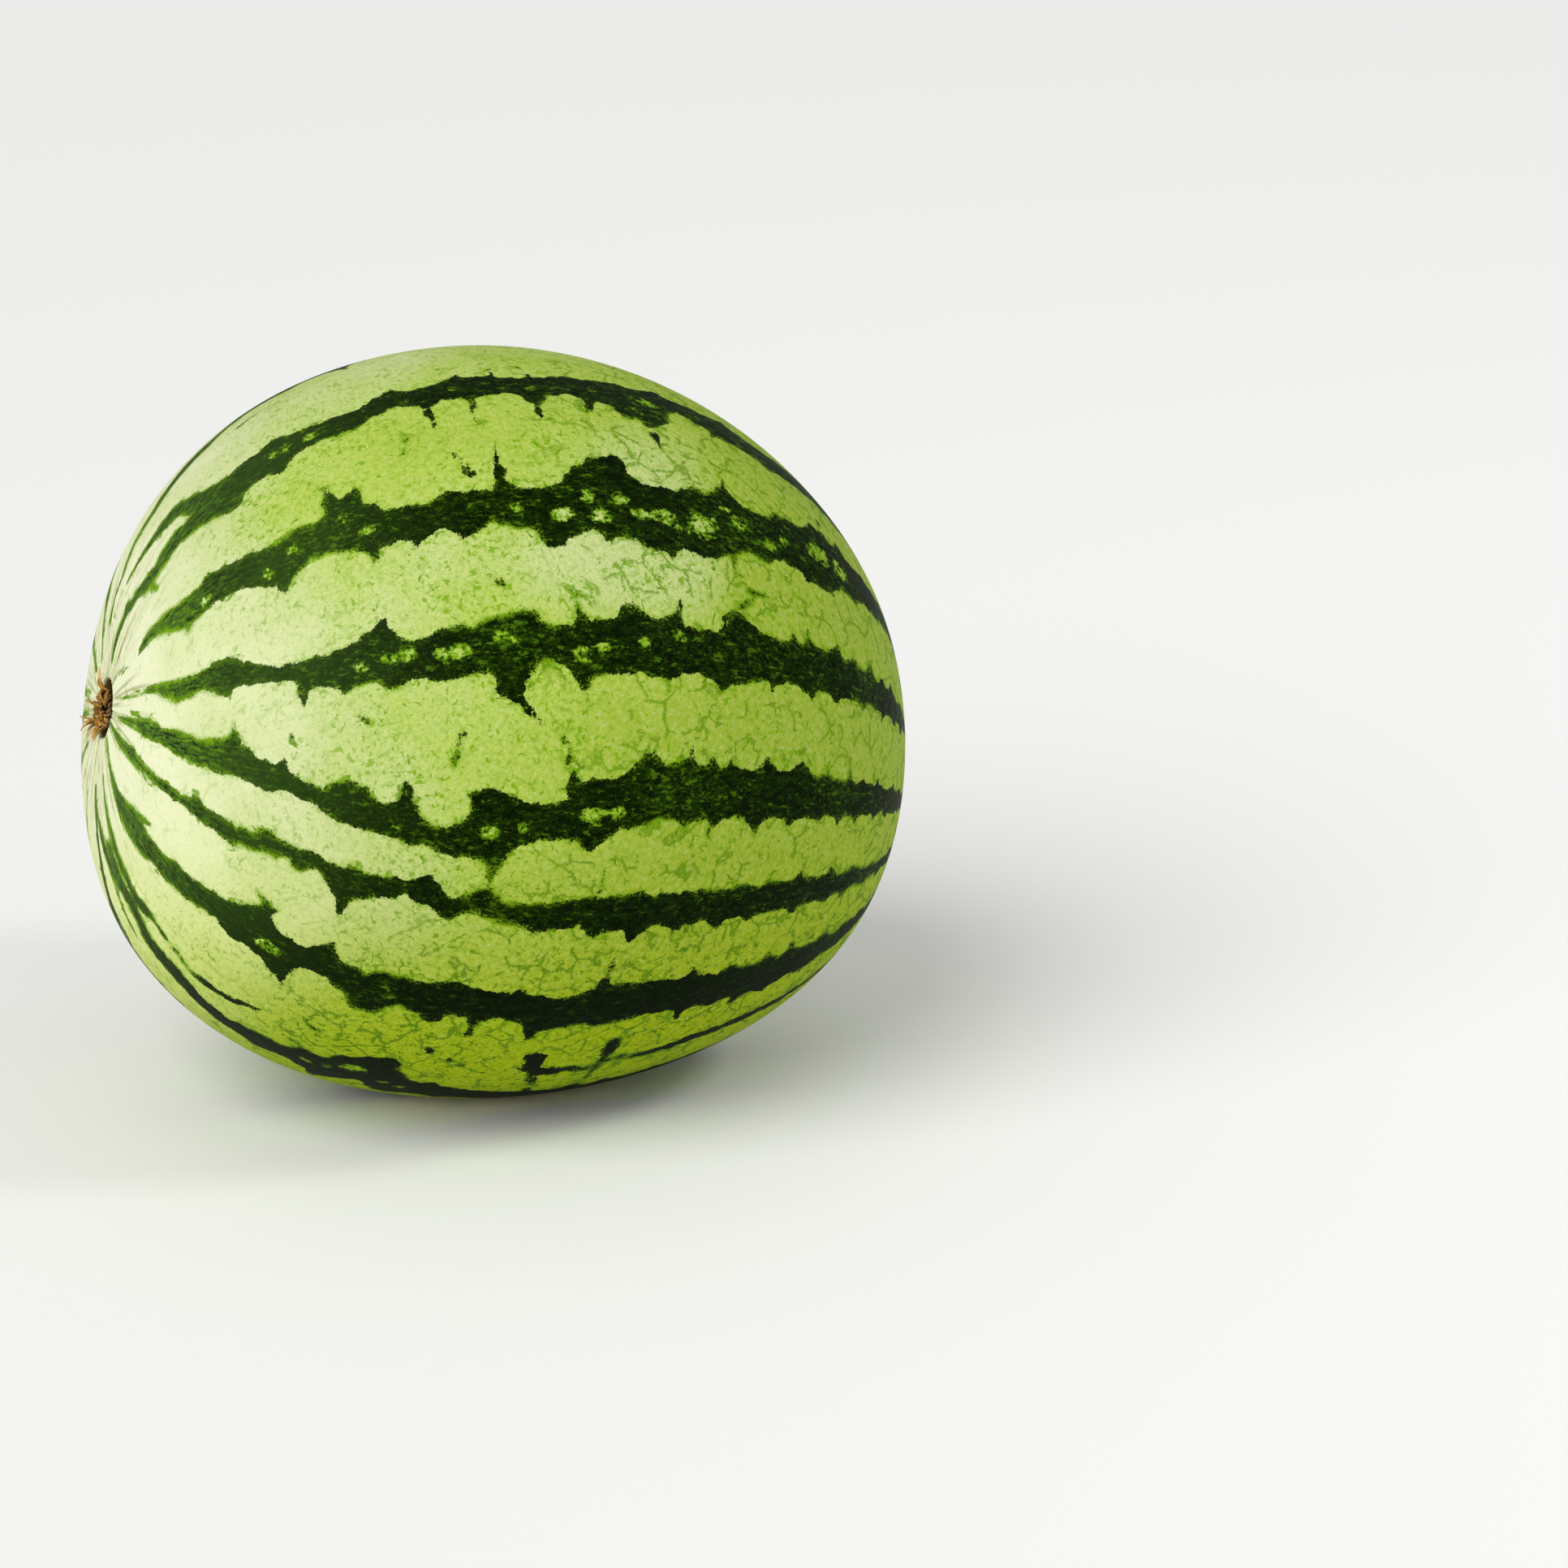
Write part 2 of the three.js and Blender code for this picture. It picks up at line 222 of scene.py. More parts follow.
            (44.9, 156.1), (52.2, 157.1), (56.7, 156.6), (58.8, 157.5), (61.8, 155.7), (64.1, 155.7),
            (66.8, 158.3), (68.6, 162.7), (70, 157.9), (72.7, 154.3), (74.1, 155), (75.9, 159.2),
            (77.3, 160), (79.1, 159.6), (80.5, 157.9), (83, 157.7), (85, 159.6), (87.5, 157.5),
            (91, 160), (94, 160.5),
        ],
    ),
}

# Where a stripe runs on past its edges above, or is a twig or lies hidden, it has stations only: the polar
# angle, the turn and half the width there, as a turn. Its lobes and cusps are drawn at random.
STATIONS = {
    "far": [
        (66, -18, 4), (75, -19, 4.2), (90, -20.5, 3.6), (105, -20, 4.6), (130, -20, 3.6),
        (160, -22, 3), (171, -23, 3),
    ],
    "top": [(125, 13.8, 3.8), (140, 13.6, 3.4), (159, 11, 2.6), (167, 10, 3)],
    "shoulder": [(125, 36.7, 7), (132, 35.5, 5.6), (145, 33, 4.4), (160, 30, 3), (172, 27, 4)],
    "upper_belt": [(112, 62.3, 3.9), (125, 61, 4.5), (145, 59, 3.6), (164, 57, 2.4)],
    "lower_belt": [
        (95, 85.2, 5), (105, 84.5, 4.5), (120, 84, 4.6), (140, 83.5, 3.6), (160, 84, 3),
        (170, 86, 3.6),
    ],
    "thin_belt": [(97, 104.4, 4), (100, 103.4, 3.2), (120, 102.5, 3.2), (140, 102, 2.6), (158, 102, 1.8)],
    "belly": [(102, 121.3, 4.2), (120, 121, 4.6), (140, 120, 3.8), (160, 118, 3), (172, 116, 3.4)],
    "low": [
        (94, 155.6, 4.9), (100, 155.6, 5.2), (115, 154, 5), (135, 152, 4.4), (158, 148, 3.4),
        (168, 145, 3),
    ],
    "low_fork": [
        (10, 155, 1.8), (16, 153.5, 2.4), (19, 151.5, 2.8), (22, 150.5, 3), (26, 148.7, 2.4),
        (30, 147.8, 2.6), (33, 145.8, 2.8), (35, 144, 1.2), (40, 144.8, 0.5), (45, 146, 0.9),
        (48, 144.8, 1.1), (51, 143.8, 1.2), (53, 141.8, 0.9), (55.5, 141, 0.5),
    ],
    "low_loop": [
        (90.5, 138.3, 0.5), (93, 140.5, 1.9), (97, 140, 1), (100, 140.5, 1.2), (103, 137.6, 1.1),
        (108, 138.4, 1.2), (114, 136.5, 1.4), (125, 135.5, 1.7), (140, 135, 1.3), (150, 134, 0.6),
    ],
    "under_fork": [
        (12, 177, 1), (15, 175, 2), (18, 170, 3.4), (21, 166, 4), (24, 161.5, 3.2), (27, 158.5, 2.4),
    ],
    "under_twig": [(23, 164, 1.4), (27, 162.6, 0.8), (31, 162.8, 0.7), (36, 161.6, 0.6)],
    "stem_flick": [(5, 29, 1.4), (8, 35, 1.1), (11, 43, 0.8), (12.5, 47, 0.4)],
    "upper_flick": [(13, 62.8, 0.4), (15, 65.6, 0.8), (17, 68.3, 0.9)],
    "lower_flick": [(13.5, 78.6, 0.4), (16.5, 79.8, 0.7), (19, 81.5, 1)],
}

# A spur runs from a stripe into a pale band. It has the polar angle and turn of its root, those of its tip,
# and its width at the root in millimetres.
SPURS = [
    (22, 19, 23, 26, 0.9), (68.4, 18.8, 68.8, 24.5, 0.9), (74.4, 19.8, 74.2, 26, 0.5),
    (82.3, 20.6, 82.9, 25.3, 0.9), (89.8, 19.6, 88.5, 24.4, 0.6), (97.4, 22.5, 98.2, 28, 0.9),
    (78.7, 12.6, 77.9, 6.8, 0.7), (83.2, 12.6, 82.7, 8, 0.7), (75.7, 36, 75.5, 31.2, 1),
    (106.3, 32.8, 107, 30, 0.5), (90.6, 33, 91, 30.4, 0.5), (97.3, 48.4, 97.4, 50.8, 0.5),
    (106.2, 46.5, 106.8, 50, 0.5), (59, 49, 59.1, 50.8, 0.5), (84.5, 60.6, 84, 56.8, 0.6),
    (97.8, 58.8, 98, 56.3, 0.6), (106.9, 55.4, 110.3, 51.8, 0.7), (110.3, 51.8, 113, 51.5, 0.5),
    (77.5, 73, 80.5, 76, 1), (49.6, 73, 49.8, 74.8, 0.5), (39.7, 80, 39.5, 78.6, 0.6),
    (84.8, 83, 83.2, 77.5, 0.9), (76.9, 98, 77.3, 103, 1.1), (59.3, 108, 59.6, 112, 1),
    (91.2, 101, 91.5, 96.8, 0.4), (49.6, 113.6, 47.6, 111.8, 0.5), (96.1, 117, 96, 112.4, 0.9),
    (55.6, 129.8, 55.9, 131.4, 0.5), (81.1, 129.4, 81.5, 132, 0.6), (93, 141, 95.3, 150.5, 1.4),
    (101.5, 139, 101.6, 151, 1.2),
]

# A mark is like a spur, but stands by itself in a pale band.
MARKS = [
    (71.8, 35.6, 70, 31, 0.7), (70.8, 78, 69.8, 83.6, 0.4), (61, 137.2, 65, 139.4, 0.8),
    (77.8, 135.6, 79.6, 138, 0.8), (81, 137.6, 86.5, 141.5, 0.6), (64.8, 25.5, 64, 29.5, 0.5),
    (73.5, 7, 74.3, 9.5, 0.4), (57.6, 75.8, 60, 78.6, 0.35), (48.4, 80.6, 49.4, 82, 0.4),
    (74.2, 55, 75.2, 55.6, 0.35), (45, -9, 51, -8, 0.3),
]

# A pale island in a stripe has its polar angle, its turn and its radius in millimetres.
ISLANDS = [
    (33, 46.5, 1.5), (44, 47, 1.5), (48, 43.7, 1.2), (55, 40.5, 1.1), (58, 44, 1.3), (77, 42.6, 1.3),
    (83, 43.8, 2), (86.3, 40.6, 1.3), (88, 43.8, 1.8), (90.5, 40.5, 1.9), (93.5, 42.6, 1.7),
    (97, 42.4, 2.1), (99.3, 44.1, 1), (102, 42.4, 3), (106, 37.6, 1), (108, 39.4, 2), (113, 41.5, 1.6),
    (115.5, 39.1, 1), (122.8, 36.8, 2.8), (128, 36.5, 2.4), (47.6, 15.6, 1.1), (49.6, 16, 1.5),
    (53, 16.4, 1.4), (72.5, 14.8, 1.2), (82.5, 16.3, 1), (91, 15, 1), (98.5, 15.2, 2), (96.3, 18.7, 1),
    (57, 68.2, 1.1), (61, 67, 1.3), (63, 66.2, 1.4), (67.4, 66, 1.6), (69.6, 65.8, 1.6),
    (74.3, 63.5, 1.3), (76, 63.8, 1), (84.6, 66, 1.5), (87.6, 64.6, 1.2), (90, 64.2, 1.2),
    (93, 63.5, 1), (97.3, 62, 1.1), (75.7, 92.5, 2), (79.8, 91, 1), (88.4, 89.2, 2), (91.4, 88.2, 1.3),
    (61.8, 89.3, 0.8), (63.9, 93.2, 0.8), (68.6, 123.5, 1.3), (51, 122.3, 1.5), (53, 123.2, 1.4),
    (71, 148, 2.2), (65, 151.6, 1.2), (68, 151, 1.2), (76, 152, 1), (78.5, 153, 1), (36, 150.5, 1.5),
]

# Broad patches where the pale ground is lighter (above 0) or deeper (below 0): polar angle, turn, radius in
# millimetres and strength.
TINTS = [
    (97, 49, 21, 1.0), (82, 51, 15, 0.55), (89, 32, 14, 0.35), (88, -8, 24, 0.65), (66, -2, 16, 0.3),
    (40, 30, 20, -0.6), (56, 28, 18, -0.6), (72, 27, 16, -0.4), (60, 105, 22, 0.4),
    (75, 112, 16, 0.25), (100, 26, 16, 0.4), (104, 80, 20, -0.6), (118, 50, 18, -0.5),
    (125, 100, 22, -0.5), (60, -40, 24, 0.5), (92, -45, 26, -0.3), (70, 220, 24, -0.4),
    (100, 270, 26, 0.4), (50, 290, 22, 0.4), (120, 240, 26, -0.4),
]

# The side that isn't seen from the front: the turns of its stripes, and how unevenly they run.
HIDDEN_TURNS = (177, 203, 229, 251, 266, 288, 312)
HIDDEN_SEED = 11


def rgb(red, green, blue):
    """A colour from 0 to 255 as a screen shows it, in the linear values that shaders take."""
    def linear(value):
        share = value / 255
        return share / 12.92 if share <= 0.04045 else ((share + 0.055) / 1.055) ** 2.4

    return linear(red), linear(green), linear(blue)


def plain(name, description, default):
    return FloatProperty(name=name, description=description, default=default)


def whole(name, description, default, low):
    return IntProperty(name=name, description=description, default=default, min=low)


def length(name, description, default):
    return FloatProperty(name=name, description=description, default=default, unit="LENGTH", precision=5)


def angle(name, description, degrees):
    return FloatProperty(name=name, description=description, default=math.radians(degrees), subtype="ANGLE")


def colour(name, description, red, green, blue):
    return FloatVectorProperty(
        name=name, description=description, default=rgb(red, green, blue), subtype="COLOR", min=0, max=1
    )


class MELON_PG_fruit(bpy.types.PropertyGroup):
    """Sizes and colours of the fruit."""

    radius: length("Radius", "Half the girth's diameter", 0.0793)
    half_length: length("Half length", "Half the length before the ends are pressed in", 0.0929)
    shoulder: plain("Shoulder", "Share by which the stem half is fuller", 0.056)
    flattening: length("Flattening", "How far the stem end is pressed in", 0.0091)
    flattened_angle: angle("Flattened angle", "How far from the stem that spreads", 31.5127)
    blunting: length("Blunting", "How far the blossom end is pressed in", 0.0045)
    blunted_angle: angle("Blunted angle", "How far from the blossom end that spreads", 34.3775)
    droop: length("Droop", "How far the two ends hang below the middle", 0.0052)
    lean: length("Lean", "How much lower the belly sits on the stem half", 0.0029)
    tip: angle("Tip", "How far the stem end lies raised", 10.9)
    cup_radius: length("Cup radius", "Radius of the cup that the stem left", 0.0058)
    cup_depth: length("Cup depth", "Depth of the cup", 0.003)
    cup_lip: length("Cup lip", "Half the width of the cup's rounded lip", 0.0007)
    dimple_radius: length("Dimple radius", "Radius of the dimple at the blossom end", 0.007)
    dimple_depth: length("Dimple depth", "Depth of that dimple", 0.0013)
    turn_steps: whole("Turn steps", "Coarse faces round the fruit", 95, 24)
    ring_steps: whole("Ring steps", "Coarse faces from end to end", 66, 16)
    cuts: whole("Cuts", "Cuts that make each coarse face finer", 3, 0)
    ground: colour("Ground", "Pale green between the stripes", 173, 193, 83)
    stem_ground: colour("Stem ground", "Cream by the stem", 224, 227, 190)
    shoulder_ground: colour("Shoulder ground", "Pale green on the shoulder", 197, 207, 146)
    deep_ground: colour("Deep ground", "Deeper green of the bands past the middle", 159, 179, 63)
    # Painted shade: the olive green that darkens the underside.
    belly_painted_shade: colour("Belly ground", "Olive green on the underside", 160, 179, 2)
    # Painted bounce light: the lighter yellow green low on the stem half.
    low_painted_light: colour("Low ground", "Yellow green low on the stem half", 216, 232, 98)
    rest_ground: colour("Ground spot", "Cream yellow where the melon lay in the field", 226, 216, 142)
    fleck: colour("Fleck", "Darker flecks and veins in the pale bands", 116, 158, 16)
    fringe: colour("Fringe", "Fuzzy edge of the stripes", 78, 118, 12)
    stripe: colour("Stripe", "Dark green of the stripes", 17, 37, 1)
    # The darkest green of the stripes, which also serves as the painted shade of the stripes on the
    # underside.
    deep_stripe_and_shade: colour("Deep stripe", "Darkest green of the stripes", 3, 14, 0)
    young_stripe: colour("Young stripe", "Green of the stripes by the stem", 72, 102, 40)
    crease: colour("Crease", "Thin lines in the skin by the stem", 122, 122, 44)
    cup: colour("Cup", "Shaded wall of the cup that the stem left", 92, 70, 24)
    blossom: colour("Blossom scar", "Dry spot at the blossom end", 128, 92, 48)


class MELON_PG_scar(bpy.types.PropertyGroup):
    """Sizes and colours of the stem scar."""

    plug_radius: length("Plug radius", "Radius of the cork plug", 0.0047)
    root_depth: length("Root depth", "How far below the cup's mouth the strands grow", 0.002)
    cleft_half_length: length("Cleft half length", "Half the cleft's length between the strands", 0.0026)
    cleft_half_width: length("Cleft half width", "Half the width of the cleft", 0.0011)
    outer_strands: whole("Outer strands", "Strands in the outer ring", 21, 3)
    inner_strands: whole("Inner strands", "Strands in the inner ring", 11, 3)
    cork: colour("Cork", "Golden brown of the dry strands", 226, 166, 48)
    cork_light: colour("Light cork", "Pale ends of the strands", 240, 196, 136)
    # The dark brown between the fibres, which also serves as the painted shade deep in the cup.
    cork_dark_and_shade: colour("Dark cork", "Brown in the clefts", 50, 26, 6)


class MELON_PG_stage(bpy.types.PropertyGroup):
    """The camera, the lights and the floor."""

    azimuth: angle("Azimuth", "How far the camera stands round to the stem end", -18.9)
    elevation: angle("Elevation", "How far the camera stands above the horizon", 16)
    distance: length("Distance", "From the camera to the point it looks at", 1.2)
    aim_right: length("Aim right", "How far right of the fruit's middle the camera looks", 0.0617)
    aim_up: length("Aim up", "How far above the fruit's middle the camera looks", -0.0111)
    lens: plain("Lens", "Focal length in millimetres on a 36 mm sensor", 130.43)
    key_strength: plain("Key light", "Strength of the soft light from the left", 2.35)
    key_spread: angle("Key spread", "How wide the soft light from the left is", 50)
    fill_power: plain("Fill light", "Watts of the light at the upper right", 4)
    fill_size: length("Fill size", "Side of that square light", 0.3)
    sky_strength: plain("Sky strength", "Brightness of the white surroundings", 0.45)
    floor_size: length("Floor size", "Side of the square floor", 12)
    floor: colour("Floor", "Pale floor", 246, 246, 244)


# ---- The skin ----
def smoothstep(low, high, value):
    share = np.clip((value - low) / (high - low), 0, 1)
    return share * share * (3 - 2 * share)


class Skin:
    """The outer form of the fruit, and its place in the row frame."""

    def __init__(self, settings):
        self.settings = settings
        self.offset = np.zeros(3)
        turns = np.linspace(-np.pi, np.pi, 360, endpoint=False)
        polar, turn = np.meshgrid(np.linspace(0, np.pi, 721), turns)
        points = self.point(polar, turn).reshape(-1, 3)
        low, high = points.min(0), points.max(0)
        box_low, box_high = np.array(FRUIT_BOX[0]), np.array(FRUIT_BOX[1])
        self.offset = (box_low + box_high - low - high) / 2
        self.offset[2] = box_high[2] - high[2]

    def droop(self, along):
        """How far the stem axis bends up, at a place from 1 at the stem to -1 at the blossom."""
        return self.settings.droop * (1 / 3 - along * along)

    def place(self, x, y, z):
        """A point of the fruit's own frame, tipped onto its rest and moved to the row frame."""
        tip = self.settings.tip
        return np.stack(
            [x * math.cos(tip) + z * math.sin(tip), y, z * math.cos(tip) - x * math.sin(tip)], -1
        ) + self.offset

    def distance(self, polar):
        """The distance of the skin from the stem axis."""
        s = self.settings
        return s.radius * np.sin(polar) * (1 + s.shoulder * np.cos(polar) * np.sin(polar))

    def point(self, polar, turn):
        s = self.settings
        along, out = np.cos(polar), np.sin(polar)
        radius = self.distance(polar)
        flattened = s.flattening * np.exp(-((polar / s.flattened_angle) ** 2))
        blunted = s.blunting * np.exp(-(((np.pi - polar) / s.blunted_angle) ** 2))
        out_of_cup = smoothstep(s.cup_radius - s.cup_lip, s.cup_radius + s.cup_lip, radius)
        cup = np.where(along > 0, s.cup_depth * (1 - out_of_cup), 0)
        dimple = np.where(along < 0, s.dimple_depth * np.exp(-((radius / s.dimple_radius) ** 2)), 0)
        return self.place(
            -s.half_length * along + flattened + cup - blunted - dimple,
            -radius * np.sin(turn),
            radius * np.cos(turn) + self.droop(along) - s.lean * along * out * out,
        )

    def scar_point(self, out, distance, turn):
        """A point by the stem: how far it stands out of the cup and off the stem axis, and its turn."""
        s = self.settings
        mouth = -s.half_length + s.flattening
        return self.place(mouth - out, -distance * np.sin(turn), distance * np.cos(turn) + self.droop(1))


# ---- Where the stripes, spurs and islands lie ----
def hidden_stripes(seed):
    """Stripes, spurs and islands on the side that isn't seen from the front, drawn at random."""
    draw = random.Random(seed)
    stripes, spurs, islands = [], [], []
    for number, middle in enumerate(HIDDEN_TURNS):
        wide = number % 3 != 1
        stations = []
        for polar in range(9 + draw.randrange(6), 161 + draw.randrange(12), 6):
            share = smoothstep(8, 60, polar) * smoothstep(166, 130, polar)
            wander = draw.uniform(-2.2, 2.2)
            half_width = (draw.uniform(3, 6.2) if wide else draw.uniform(1.6, 3.2)) * (0.5 + 0.5 * share)
            stations.append((polar + draw.uniform(-1.5, 1.5), middle + wander, half_width))
            side = draw.choice((-1, 1))
            if 30 < polar < 150 and draw.random() < 0.35:
                root = middle + wander + side * half_width * 0.7
                tip = polar + draw.uniform(-2, 2), root + side * draw.uniform(2, 5)
                spurs.append((polar, root, *tip, 1.0))
            if wide and 30 < polar < 140 and draw.random() < 0.55:
                for _ in range(draw.choice((1, 2, 3, 4))):
                    place = polar + draw.uniform(-3, 3), middle + wander + draw.uniform(-1.8, 1.8)
                    islands.append((*place, draw.uniform(0.7, 1.7)))
        stripes.append(stations)
    return stripes, spurs, islands


def turn_between(turn, other):
    """The difference of two turns in degrees, from -180 to 180."""
    return (turn - other + 180) % 360 - 180


def lobed_edges(stations, draw):
    """The two edges of a stripe along its stations: round lobes bulge into it, with cusps between."""
    edges = ([], [])
    if not stations:
        return edges
    at, middle, half_width = (np.array(column, float) for column in zip(*stations))
    for side, edge in zip((-1, 1), edges):
        polar = at[0]
        while polar < at[-1]:
            span, cusp = draw.uniform(3, 8), draw.uniform(0.1, 0.8)
            for share in (0, 0.1, 0.3, 0.5, 0.7, 0.9):
                place = polar + span * share
                if place < at[-1]:
                    bulge = math.sin(math.pi * share) ** 0.5
                    width = np.interp(place, at, half_width) * (0.85 + cusp * (1 - bulge))
                    edge.append((place, np.interp(place, at, middle) + side * width))
            polar += span
    return edges


def stripe_outlines(draw):
    """The closed outlines of all the stripes, as places on the skin."""
    hidden, hidden_spurs, hidden_islands = hidden_stripes(HIDDEN_SEED)
    outlines = []
    for name in {**STRIPES, **STATIONS}:
        known, drawn = STRIPES.get(name, ([], [])), lobed_edges(STATIONS.get(name, []), draw)
        outlines.append([*known[0], *drawn[0], *reversed(drawn[1]), *reversed(known[1])])
    for stations in hidden:
        first, second = lobed_edges(stations, draw)
        outlines.append([*first, *reversed(second)])
    return outlines, hidden_spurs, hidden_islands


def outline_depth(outline, polar, turn, across, lengthwise):
    """How deep each point lies inside a closed outline, below 0 outside it, in millimetres."""
    turns = [corner_turn for _, corner_turn in outline]
    middle, reach = (max(turns) + min(turns)) / 2, (max(turns) - min(turns)) / 2 + 25
    off = turn_between(turn, middle)
    close = np.abs(off) < reach
    polar, off, across = polar[close], off[close], across[close]
    nearest, inside = np.full(polar.shape, 15.0), np.zeros(polar.shape, bool)
    for (polar_a, turn_a), (polar_b, turn_b) in zip(outline, outline[1:] + outline[:1]):
        ahead, beside = (polar - polar_a) * lengthwise, (off - (turn_a - middle)) * across
        step_ahead, step_beside = (polar_b - polar_a) * lengthwise, (turn_b - turn_a) * across
        share = (ahead * step_ahead + beside * step_beside) / (step_ahead**2 + step_beside**2 + 1e-12)
        share = np.clip(share, 0, 1)
        nearest = np.minimum(nearest, np.hypot(ahead - share * step_ahead, beside - share * step_beside))
        crossed = (polar < polar_a) != (polar < polar_b)
        if polar_a != polar_b:
            crossing = turn_a - middle + (turn_b - turn_a) * (polar - polar_a) / (polar_b - polar_a)
            inside ^= crossed & (off < crossing)
    depth = np.full(turn.shape, -15.0)
    depth[close] = np.where(inside, nearest, -nearest)
    return depth


def spur_depth(spur, root_inside, polar, turn, across, lengthwise):
    """How deep each point lies inside a spur, which tapers to its tip. The spur's root lies inside its
    stripe by a share of its length."""
    root_polar, root_turn, tip_polar, tip_turn, width = spur
    turn_step, polar_step = turn_between(tip_turn, root_turn), tip_polar - root_polar
    root_turn, root_polar = root_turn - root_inside * turn_step, root_polar - root_inside * polar_step
    beside, reach = turn_between(turn, root_turn) * across, turn_between(tip_turn, root_turn) * across
    ahead, forward = (polar - root_polar) * lengthwise, (tip_polar - root_polar) * lengthwise
    share = np.clip((ahead * forward + beside * reach) / (forward**2 + reach**2), 0, 1)
    off = np.hypot(ahead - share * forward, beside - share * reach)
    return width * (1.45 - 1.3 * share**0.8) - off


def skin_pattern(skin, polar, turn):
    """For each point: its depth in the stripes and in their islands, in millimetres, and how much
    lighter or deeper the ground is."""
    across = np.maximum(np.radians(skin.distance(np.radians(polar)) / MM), 0.02)
    lengthwise = math.radians(skin.settings.radius / MM)
    outlines, hidden_spurs, hidden_islands = stripe_outlines(random.Random(HIDDEN_SEED))
    stripes, islands = np.full(polar.shape, -15.0), np.full(polar.shape, -5.0)
    for outline in outlines:
        np.maximum(stripes, outline_depth(outline, polar, turn, across, lengthwise), out=stripes)
    for spur in [*SPURS, *hidden_spurs]:
        np.maximum(stripes, spur_depth(spur, 0.6, polar, turn, across, lengthwise), out=stripes)
    for mark in MARKS:
        faint = np.minimum(spur_depth(mark, 0, polar, turn, across, lengthwise), -0.05)
        np.maximum(stripes, faint, out=stripes)
    for island_polar, island_turn, radius in [*ISLANDS, *hidden_islands]:
        off = np.hypot((polar - island_polar) * lengthwise, turn_between(turn, island_turn) * across)
        np.maximum(islands, radius - off, out=islands)
    tint = np.zeros(polar.shape)
    for tint_polar, tint_turn, radius, strength in TINTS:
        off = np.hypot((polar - tint_polar) * lengthwise, turn_between(turn, tint_turn) * across)
        tint += strength * np.exp(-((off / radius) ** 2))
    return stripes, islands, tint


# ---- Relief of the skin ----
def creases(polar, turn, seed=3):
    """Creases that run from the stem: 1 in the bottom of a crease and 0 between them."""
    count, fruit_radius = 46, 79  # the radius in millimetres
    draw = random.Random(seed)
    depth = np.zeros_like(polar)
    for _ in range(count):
        middle, bend = draw.uniform(0, 360), draw.uniform(-0.5, 0.5)
        start, end = draw.uniform(3.6, 5), draw.uniform(7, 26)
        width = draw.uniform(0.09, 0.26)
        off = turn_between(turn, middle + bend * polar) * np.radians(polar) * fruit_radius * math.pi / 180
        window = smoothstep(start - 0.6, start + 0.8, polar) * smoothstep(end, end * 0.6, polar)
        depth = np.maximum(depth, np.exp(-((off / (width * (1 + polar / 14))) ** 2)) * window)
    return depth


def unevenness(polar, turn, seed=5):
    """Soft dents and swellings of the whole skin, from about -1 to 1."""
    draw = random.Random(seed)
    polar, turn = np.radians(polar), np.radians(turn)
    point = np.stack([np.cos(polar), np.sin(polar) * np.cos(turn), np.sin(polar) * np.sin(turn)], -1)
    waves, total = 14, np.zeros(polar.shape)
    for _ in range(waves):
        direction = np.array([draw.gauss(0, 1) for _ in range(3)])
        total += np.sin(point @ direction * draw.uniform(2.5, 5) + draw.uniform(0, 6.3)) / 5
    return total


# ---- Pieces ----
def finish_piece(name, mesh, material, node):
    """Makes an object of a mesh with its material: it rides on the one body, and the node of the model that
    it stands for is hidden.
    """
    mesh.materials.append(material)
    piece = bpy.data.objects.new(name, mesh)
    bpy.context.scene.collection.objects.link(piece)
    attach(piece, "root")
    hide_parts(node)
    return piece


def store(mesh, name, values, kind="FLOAT"):
    """Keeps one number or vector for each vertex, for the material to read."""
    attribute = mesh.attributes.new(name, kind, "POINT")
    field = "value" if kind == "FLOAT" else "vector"
    attribute.data.foreach_set(field, np.asarray(values, np.float32).ravel())


def make_fruit(settings):
    """The whole fruit: a sphere with its poles on the stem axis, pulled out to the skin."""
    ring_power = 1.5  # above 1, the rings crowd towards the stem
    front = math.radians(62)  # the turn where the vertices stand closest
    crowding = 0.35  # how much closer they stand there
    relief, crease_depth = 0.25 * MM, 0.22 * MM  # of the soft dents, and of the creases by the stem
    shape = bmesh.new()
    bmesh.ops.create_uvsphere(
        shape, u_segments=settings.turn_steps, v_segments=settings.ring_steps, radius=1,
    )
    bmesh.ops.subdivide_edges(shape, edges=shape.edges[:], cuts=settings.cuts, use_grid_fill=True)
    mesh = bpy.data.meshes.new("rind")
    shape.to_mesh(mesh)
    shape.free()
    mesh.shade_smooth()

    sphere = np.empty(len(mesh.vertices) * 3)
    mesh.vertices.foreach_get("co", sphere)
    sphere = sphere.reshape(-1, 3)
    sphere /= np.linalg.norm(sphere, axis=1, keepdims=True)
    share = np.arccos(np.clip(sphere[:, 2], -1, 1)) / np.pi
    polar = np.pi * share**ring_power
    turn = np.arctan2(-sphere[:, 1], sphere[:, 0])
    turn -= crowding * np.sin(turn - front)
    polar_degrees, turn_degrees = np.degrees(polar), np.degrees(turn)

    skin = Skin(settings)
    points = skin.point(polar, turn)
    crease = creases(polar_degrees, turn_degrees)
    outwards = points - points.mean(0)
    outwards /= np.linalg.norm(outwards, axis=1, keepdims=True)
    swelling = relief * unevenness(polar_degrees, turn_degrees) * smoothstep(5, 20, polar_degrees)
    points += outwards * (swelling - crease_depth * crease)[:, None]
    points[:, 2] = np.maximum(points[:, 2], 0)
    mesh.vertices.foreach_set("co", points.ravel())

    stripes, islands, tint = skin_pattern(skin, polar_degrees, turn_degrees)
    store(mesh, "stripe_depth", stripes)
    store(mesh, "tint", tint)
    store(mesh, "island_depth", islands)
    store(mesh, "polar", polar_degrees)
    store(mesh, "crease", crease)
    store(mesh, "round_stem", np.stack([polar, np.cos(turn), np.sin(turn)], -1), "FLOAT_VECTOR")
    mesh.update()
    return finish_piece("rind", mesh, rind_material(settings), "fruit")


